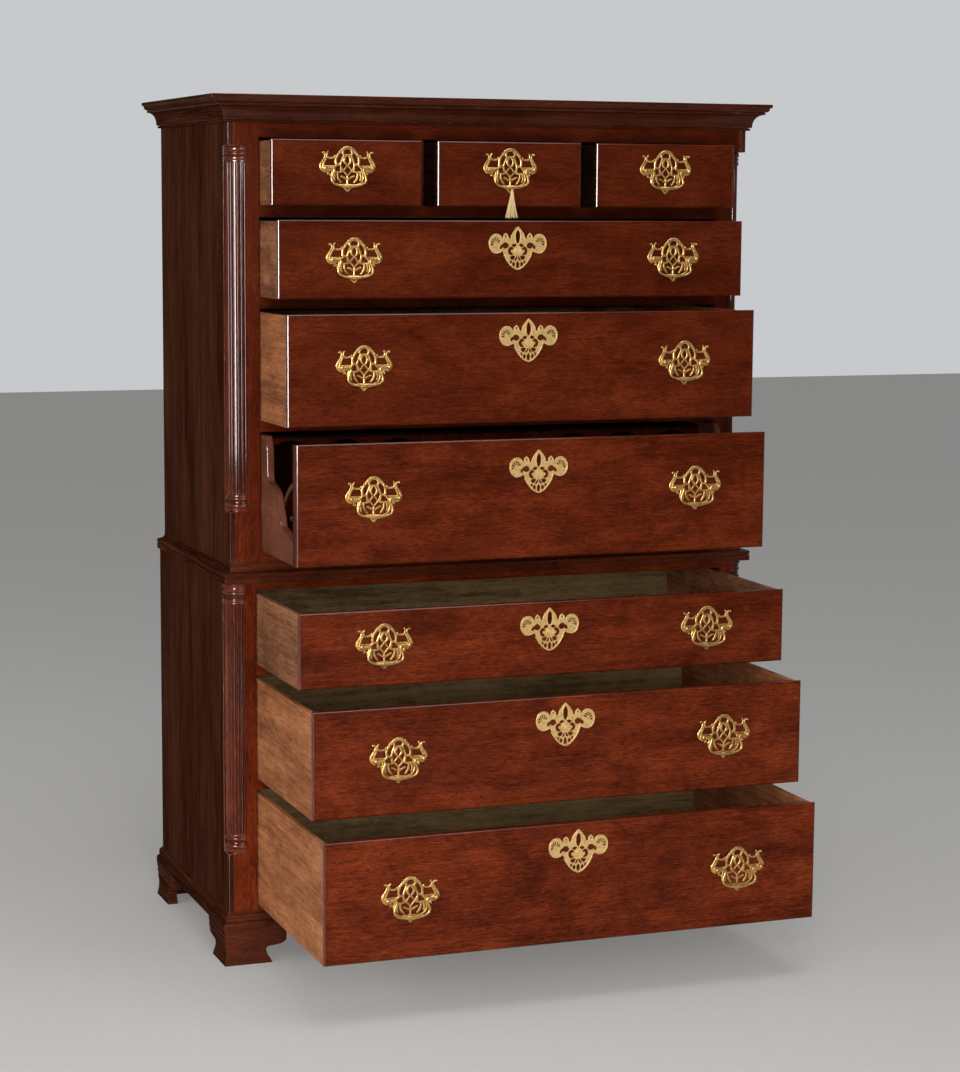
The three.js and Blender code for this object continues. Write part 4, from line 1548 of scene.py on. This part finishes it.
escutcheonSideHoles = [
    [(20.5, 5.5), (24, 9.8), (29, 10), (32.6, 7), (36, 4.6), (36.4, 0.4), (33.4, -0.6),
     (31, 2.2), (27, 0.2), (22.6, 1.4)],
    [(3.6, 7.4), (7.4, 8.8), (12.2, 5.8), (9, 3), (5, 4.2)],
    [(10.8, 0.8), (15.4, 1.8), (19.4, -3), (18.2, -9.6), (12.6, -12.2), (10.2, -9.8),
     (14, -6.4), (13.4, -3.2), (9.8, -2.4)],
    [(6.2, -15.4), (11, -14.6), (15.4, -16.8), (12.8, -21.4), (8, -20.8)],
    [(1.4, -15.4), (4.2, -18.4), (6.6, -23.2), (3, -22.6), (1.2, -19.4)],
    [(6.2, -29), (9, -27.2), (11.4, -30.6), (9, -34.8), (6.4, -33.6)],
    [(12.8, -24.8), (16.4, -24), (15.4, -28.6), (13, -29)],
    [(24, 24), (25.6, 25.6), (27.2, 24), (25.6, 22.4)],
]
escutcheonLobe = {
    "centre": (46.4, 8.8),
    "stretch": 1.25,
    "slots": [(4.0, 10.2, start, start + 19) for start in (-14, 16, 46, 76, 106, 136)],
    "steps": 4,
}
escutcheonBars = [
    [(6.4, -4, 0.9), (4.4, 0.6, 0.9), (0, 2.4, 0.9), (-4.4, 0.6, 0.9), (-6.4, -4, 0.9),
     (-4.4, -8.6, 0.9), (0, -10.4, 0.9), (4.4, -8.6, 0.9)],
    [(2.4, -4, 1.2), (0, -1.6, 1.2), (-2.4, -4, 1.2), (0, -6.4, 1.2)],
    [(5.4, 18, 0.8), (5.4, 27.4, 0.8), (3.2, 34, 0.8), (0, 36.4, 0.8), (-3.2, 34, 0.8),
     (-5.4, 27.4, 0.8), (-5.4, 18, 0.8), (-3, 10.8, 0.8), (0, 8.8, 0.8), (3, 10.8, 0.8)],
]
escutcheonBeads = {
    "places": [
        (27.8, -14.6), (25.2, -19), (22.4, -23.6), (19.2, -28), (15.4, -32.2), (11, -36),
        (25.6, 28.4), (0, 41),
    ],
    "radius": 1.7,
}


def closedThrough(points, steps):
    ring = [*points[-1:], *points, *points[:2]]
    line = curveThrough(ring, steps)
    return line[steps:len(line) - 1 - steps]


def bothHalves(half):
    inner = [(-across, up) for across, up in half[1:-1]]
    return [*half, *reversed(inner)]


def arcSlot(lobe, slot, side):
    near, far, start, end = slot
    turns = (math.radians(start), math.radians(end))
    band = arcBand(lobe["centre"], (far, near), turns, lobe["steps"], lobe["stretch"])
    return [(side * across, up) for across, up in band]


def pierced(name, outlines):
    # a flat plate cut through by its holes, standing up and facing -Y
    outer, *holes = [[(across * mm, 0, up * mm) for across, up in line] for line in outlines]
    thick = castSizes["thickness"]
    piece = outlinePlate(name, outer, (0, -thick, 0))
    for hole in holes:
        through = [(x, thick, z) for x, _, z in hole]
        piece = cutBy(piece, outlinePlate("hole", through, (0, -3 * thick, 0)))
    return rounded(piece, castSizes["round"], angle=50)


def barsAlong(name, lines, sides, resting=0, lift=0.0, flatten=1.0, closed=False):
    # bars along lines of (across, up, radius) in millimetres, lying on the wall or lifted off
    placed = [
        [(across * mm, -(radius * resting + lift) * mm, up * mm, radius)
         for across, up, radius in line]
        for line in lines
    ]
    return roundBars(name, placed, 1 * mm, sides, flatten, closed)


def beadsOn(beads, lift):
    made = []
    for across, up in beads["places"]:
        for side in (-1, 1) if across else (1,):
            clearSelection()
            bpy.ops.mesh.primitive_uv_sphere_add(
                segments=12, ring_count=8, radius=beads["radius"] * mm,
                location=(side * across * mm, -lift * mm, up * mm))
            made.append(applyPlace(bpy.context.object))
    return made


# A turned post with a small round head that holds the bail's pin: out and up
postProfile = [
    (0, 0.4), (3.6, 0.4), (3.8, 1.6), (2.8, 2.6), (2.3, 4.4), (2.3, 6.6), (3.0, 8), (3.7, 9.6),
    (3.8, 11), (3.4, 12.4), (2.6, 13.4), (1.4, 14), (0, 14.1),
]

handle = {
    "postSpread": 47.5,
    "pivotRise": 3,
    "pivotStandOff": 11,
    "steps": 7,
    "flatten": 0.8,
}

# The bail from its pin to its middle: across, up and radius
bailPath = [
    (44.5, 0, 1.9), (38, 0, 2.0), (33.8, -0.1, 2.2), (30.8, -1.4, 2.6), (29.6, -4.6, 2.5),
    (31, -9.4, 2.3), (33.2, -15, 2.3), (34.6, -20.6, 2.4), (34, -25.6, 2.4), (30.2, -29.8, 2.2),
    (24, -32.6, 2.2), (16, -34.2, 2.7), (8, -34.9, 3.5), (3, -35.2, 4.0), (0, -35.2, 4.1),
]


def makeBail():
    smoothed = curveThrough(bailPath, handle["steps"])
    path = [*smoothed, *[(-across, up, size) for across, up, size in reversed(smoothed[:-1])]]
    piece = barsAlong("bail", [path], 5, flatten=handle["flatten"])
    return smooth(paintWith(piece, "brass"), 50)


def makePlate():
    lines = []
    thicken = castSizes["thicken"]
    for line in [*plateMiddleBars, *plateSideBars]:
        for side in (-1,) if line in plateMiddleBars else (-1, 1):
            thick = [(side * across, up, size * thicken) for across, up, size in line]
            lines.append(curveThrough(thick, castSizes["barSteps"]))
    bars = barsAlong("plate", lines, 2, resting=1, flatten=castSizes["flatten"])
    posts = [
        standingOut("post", postProfile, mm, (x * mm, 0, handle["pivotRise"] * mm))
        for x in (-handle["postSpread"], handle["postSpread"])
    ]
    pieces = [bars, *beadsOn(plateBeads, castSizes["plateBeadsLift"]), *posts]
    return smooth(paintWith(joined("plate", pieces), "brass"), 50)


def holeThrough(points, side=1):
    # a hole's smooth outline, grown about its middle
    grown = castSizes["holesGrown"]
    middle = [sum(point[end] for point in points) / len(points) for end in (0, 1)]
    wide = [
        [middle[end] + (point[end] - middle[end]) * grown for end in (0, 1)] for point in points
    ]
    return closedThrough([(side * across, up) for across, up in wide], castSizes["holeSteps"])


def makeEscutcheon():
    outer = closedThrough(bothHalves(escutcheonOutline), castSizes["outlineSteps"])
    outlines = [outer, *[holeThrough(hole) for hole in escutcheonMiddleHoles]]
    for side in (-1, 1):
        outlines += [holeThrough(hole, side) for hole in escutcheonSideHoles]
        outlines += [arcSlot(escutcheonLobe, slot, side) for slot in escutcheonLobe["slots"]]
    lines = [[(across, up, castSizes["rim"]) for across, up in outer]]
    lines += [closedThrough(line, castSizes["barSteps"]) for line in escutcheonBars]
    ridges = barsAlong("ridges", lines, 1, lift=castSizes["ridgeLift"], closed=True)
    beads = beadsOn(escutcheonBeads, castSizes["escutcheonBeadsLift"])
    piece = joined("escutcheon", [pierced("escutcheon", outlines), ridges, *beads])
    return smooth(paintWith(piece, "brassBright"), 40)


patterns = {"plate": makePlate(), "bail": makeBail(), "escutcheon": makeEscutcheon()}


def hang(kind, label, place):
    node = f"{kind}_{label}"
    seat(movedCopy(patterns[kind], node + "_cast", place), bodyOf(node), node)


handleLabels = ["1_left", "1_middle", "1_right"]
handleLabels += [f"{row}_{side}" for row in range(2, 8) for side in ("left", "right")]
for label in handleLabels:
    low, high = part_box(f"plate_{label}")
    middle = Vector(((low.x + high.x) / 2, high.y, (low.z + high.z) / 2))
    hang("plate", label, middle)
    pin = Vector((0, -handle["pivotStandOff"], handle["pivotRise"]))
    hang("bail", label, middle + pin * mm)
for number in range(2, 8):
    low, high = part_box(f"escutcheon_{number}")
    hang("escutcheon", number, (0, high.y, (low.z + high.z) / 2))
for pattern in patterns.values():
    bpy.data.objects.remove(pattern, do_unlink=True)
print("brasses made")


# Tassel: silk cords gathered at the bail and spreading to a loose skirt

tasselSizes = {
    "cords": 22,
    "radius": 1.1 * mm,
    "bound": 2.2 * mm,
    "steps": 14,
    "seed": 5,
    "jitter": 0.2,
    "innerEach": 3,
    "inner": 0.45,
    "uneven": 0.05,
    "gathered": 0.14,
    "spreading": 1.25,
    "sway": 0.05,
    "waves": 5,
    "inset": 1 * mm,
    "thickness": (0.8, 0.25),
    "clearance": 1.3,
}

# The binding: out in shares of its radius, and down from the top in millimetres
bindingProfile = [
    (0, -4), (1, -4), (1.25, -3), (1.05, -2.2), (1.25, -1.4), (1, -0.4), (0, -0.4),
]


def makeTassel():
    sizes = tasselSizes
    low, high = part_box("tassel")
    chance = random.Random(sizes["seed"])
    room = sizes["radius"] * sizes["clearance"]
    reach = ((high.x - low.x) / 2 - room, (high.y - low.y) / 2 - room)
    centre = ((high.x + low.x) / 2, (high.y + low.y) / 2)
    fall = high.z - low.z - 2 * sizes["inset"]
    thin, swell = sizes["thickness"]
    lines = []
    for index in range(sizes["cords"]):
        turn = index + chance.uniform(-sizes["jitter"], sizes["jitter"])
        turn *= 2 * math.pi / sizes["cords"]
        ring = 1 if index % sizes["innerEach"] else sizes["inner"]
        drop = 1 - chance.uniform(0, sizes["uneven"])
        line = []
        for step in range(sizes["steps"]):
            share = step / (sizes["steps"] - 1)
            spread = sizes["gathered"] + (1 - sizes["gathered"]) * share ** sizes["spreading"]
            sway = sizes["sway"] * math.sin(share * sizes["waves"] + index) * share
            out = (spread + sway) * ring
            line.append((
                centre[0] + math.cos(turn) * out * reach[0],
                centre[1] + math.sin(turn) * out * reach[1],
                high.z - sizes["inset"] - share * fall * drop, thin + swell * share))
        lines.append(line)
    cords = roundBars("cords", lines, sizes["radius"], 2)
    binding = turned("binding", [
        (out * sizes["bound"], down * mm) for out, down in bindingProfile])
    binding.data.transform(Matrix.Translation((*centre, high.z)))
    tassel = smooth(paintWith(joined("tassel_silk", [cords, binding]), "silk"), 60)
    seat(tassel, "tassel", "tassel")


makeTassel()
print("tassel made")


# Studio: a pale floor, soft lamps and a pale surround

studio = {
    "floor": (0.50, 0.49, 0.475),
    "floorGlow": 0.30,
    "surround": (0.57, 0.585, 0.60),
    "ambient": 0.34,
    "mirrorFront": 0.03,
    "mirrorBack": 0.30,
    "mirrorLeft": 0.12,
    "behindLimits": (-0.5, 0.5),
    "leftLimits": (0.02, -0.22),
    "aheadLimits": (0.3, 0.7),
    "floorSize": 30,
    "weave": (40, 40, 40),
    "weaveShade": 0.94,
    "roughness": 0.85,
    "specular": 0.2,
}


def plainFloor():
    clearSelection()
    bpy.ops.mesh.primitive_plane_add(size=studio["floorSize"], location=(0, 0, 0))
    floor = applyPlace(named(bpy.context.object, "studio_floor"))
    material, start, shader = startMaterial("studio_floor")
    weave = noise(start.add("TexCoord", output=3), studio["weave"], 3, 0.6)
    darker = tuple(studio["weaveShade"] * part for part in studio["floor"])
    shade = mixed(weave, studio["floor"], darker)
    ray = start.add("LightPath", output="Is Camera Ray")
    dress(start, shader, {
        "Base Color": shade,
        "Emission Color": shade,
        "Emission Strength": ray * studio["floorGlow"],
        "Roughness": studio["roughness"],
        "Specular IOR Level": studio["specular"],
    })
    floor.data.materials.append(material)


def surround():
    world = bpy.data.worlds.new("surround")
    bpy.context.scene.world = world
    world.use_nodes = True
    start = Wire(world.node_tree)
    ray, glossy, clear = [
        start.add("LightPath", output=f"Is {kind} Ray")
        for kind in ("Camera", "Glossy", "Transmission")
    ]
    direction = start.add("TexCoord", output=0)
    across, ahead = partOf(direction, "x"), partOf(direction, "y")
    behind = between(ahead, *studio["behindLimits"])
    aside = between(across, *studio["leftLimits"]) * between(ahead, *studio["aheadLimits"])
    change = studio["mirrorBack"] - studio["mirrorFront"]
    mirrored = glossy * (behind * change + aside * studio["mirrorLeft"] + studio["mirrorFront"])
    seen = ray.maths("MAXIMUM", ray, clear)
    ambient = (1 - seen) * (1 - glossy) * studio["ambient"]
    background = world.node_tree.nodes["Background"]
    start.plug((*studio["surround"], 1), background.inputs["Color"])
    start.plug(seen + mirrored + ambient, background.inputs["Strength"])


# Each lamp: its place, its aim, its size and its power
lamps = {
    "key": ((-1.7, -5.2, 2.3), (0, 0, 0.8), (1.5, 1.5), 72),
    "low": ((-0.9, -3.6, 0.8), (0, 0, 0.75), (1.8, 0.8), 60),
    "left": ((-3.9, -2.1, 1.5), (-0.5, 0, 1.1), (0.8, 1.5), 40),
    "shine": ((-3.9, -2.1, 1.45), (-0.5, 0, 1.1), (1.0, 1.7), 190),
    "side": ((-4.2, 0.3, 1.5), (-0.5, 0, 0.9), (0.8, 2.0), 26),
    "top": ((0.2, -1.1, 4.3), (0, 0, 0.8), (2.4, 2.0), 44),
}

# Lamps that don't show in polish, and the one that only does that
softLamps = ("low", "left", "side")
shineLamps = ("shine",)


def placeLamps():
    for name, (place, aim, size, power) in lamps.items():
        light = bpy.data.lights.new(name, "AREA")
        light.shape = "RECTANGLE"
        light.size, light.size_y = size
        light.energy = power
        holder = bpy.data.objects.new(name, light)
        bpy.context.scene.collection.objects.link(holder)
        holder.location = place
        turn = (Vector(aim) - Vector(place)).to_track_quat("-Z", "Y")
        holder.rotation_euler = turn.to_euler()
        holder.visible_camera = False
        holder.visible_glossy = name not in softLamps
        holder.visible_diffuse = name not in shineLamps


# Camera: the photograph's view, worked out from its straight edges

view = {
    "place": (-1.8492, -4.8838, 1.5260),
    "yaw": 0.35902,
    "pitch": 0.13137,
    "roll": 0.006678,
    "lens": 86.06,
    "sensor": 36,
}


def placeCamera():
    camera = bpy.data.cameras.new("camera")
    camera.lens = view["lens"]
    camera.sensor_width = view["sensor"]
    camera.sensor_fit = "AUTO"
    holder = bpy.data.objects.new("camera", camera)
    bpy.context.scene.collection.objects.link(holder)
    yaw, pitch, roll = view["yaw"], view["pitch"], view["roll"]
    right = Vector((math.cos(yaw), -math.sin(yaw), 0))
    ahead = Vector((math.sin(yaw) * math.cos(pitch), math.cos(yaw) * math.cos(pitch),
                    -math.sin(pitch)))
    up = right.cross(ahead)
    across = right * math.cos(roll) + up * math.sin(roll)
    rise = up * math.cos(roll) - right * math.sin(roll)
    turn = Matrix((across, rise, -ahead)).transposed()
    holder.matrix_world = Matrix.Translation(view["place"]) @ turn.to_4x4()
    bpy.context.scene.camera = holder


plainFloor()
surround()
placeLamps()
placeCamera()
bpy.context.scene.view_settings.view_transform = "Standard"
print("studio placed")

clearSelection()
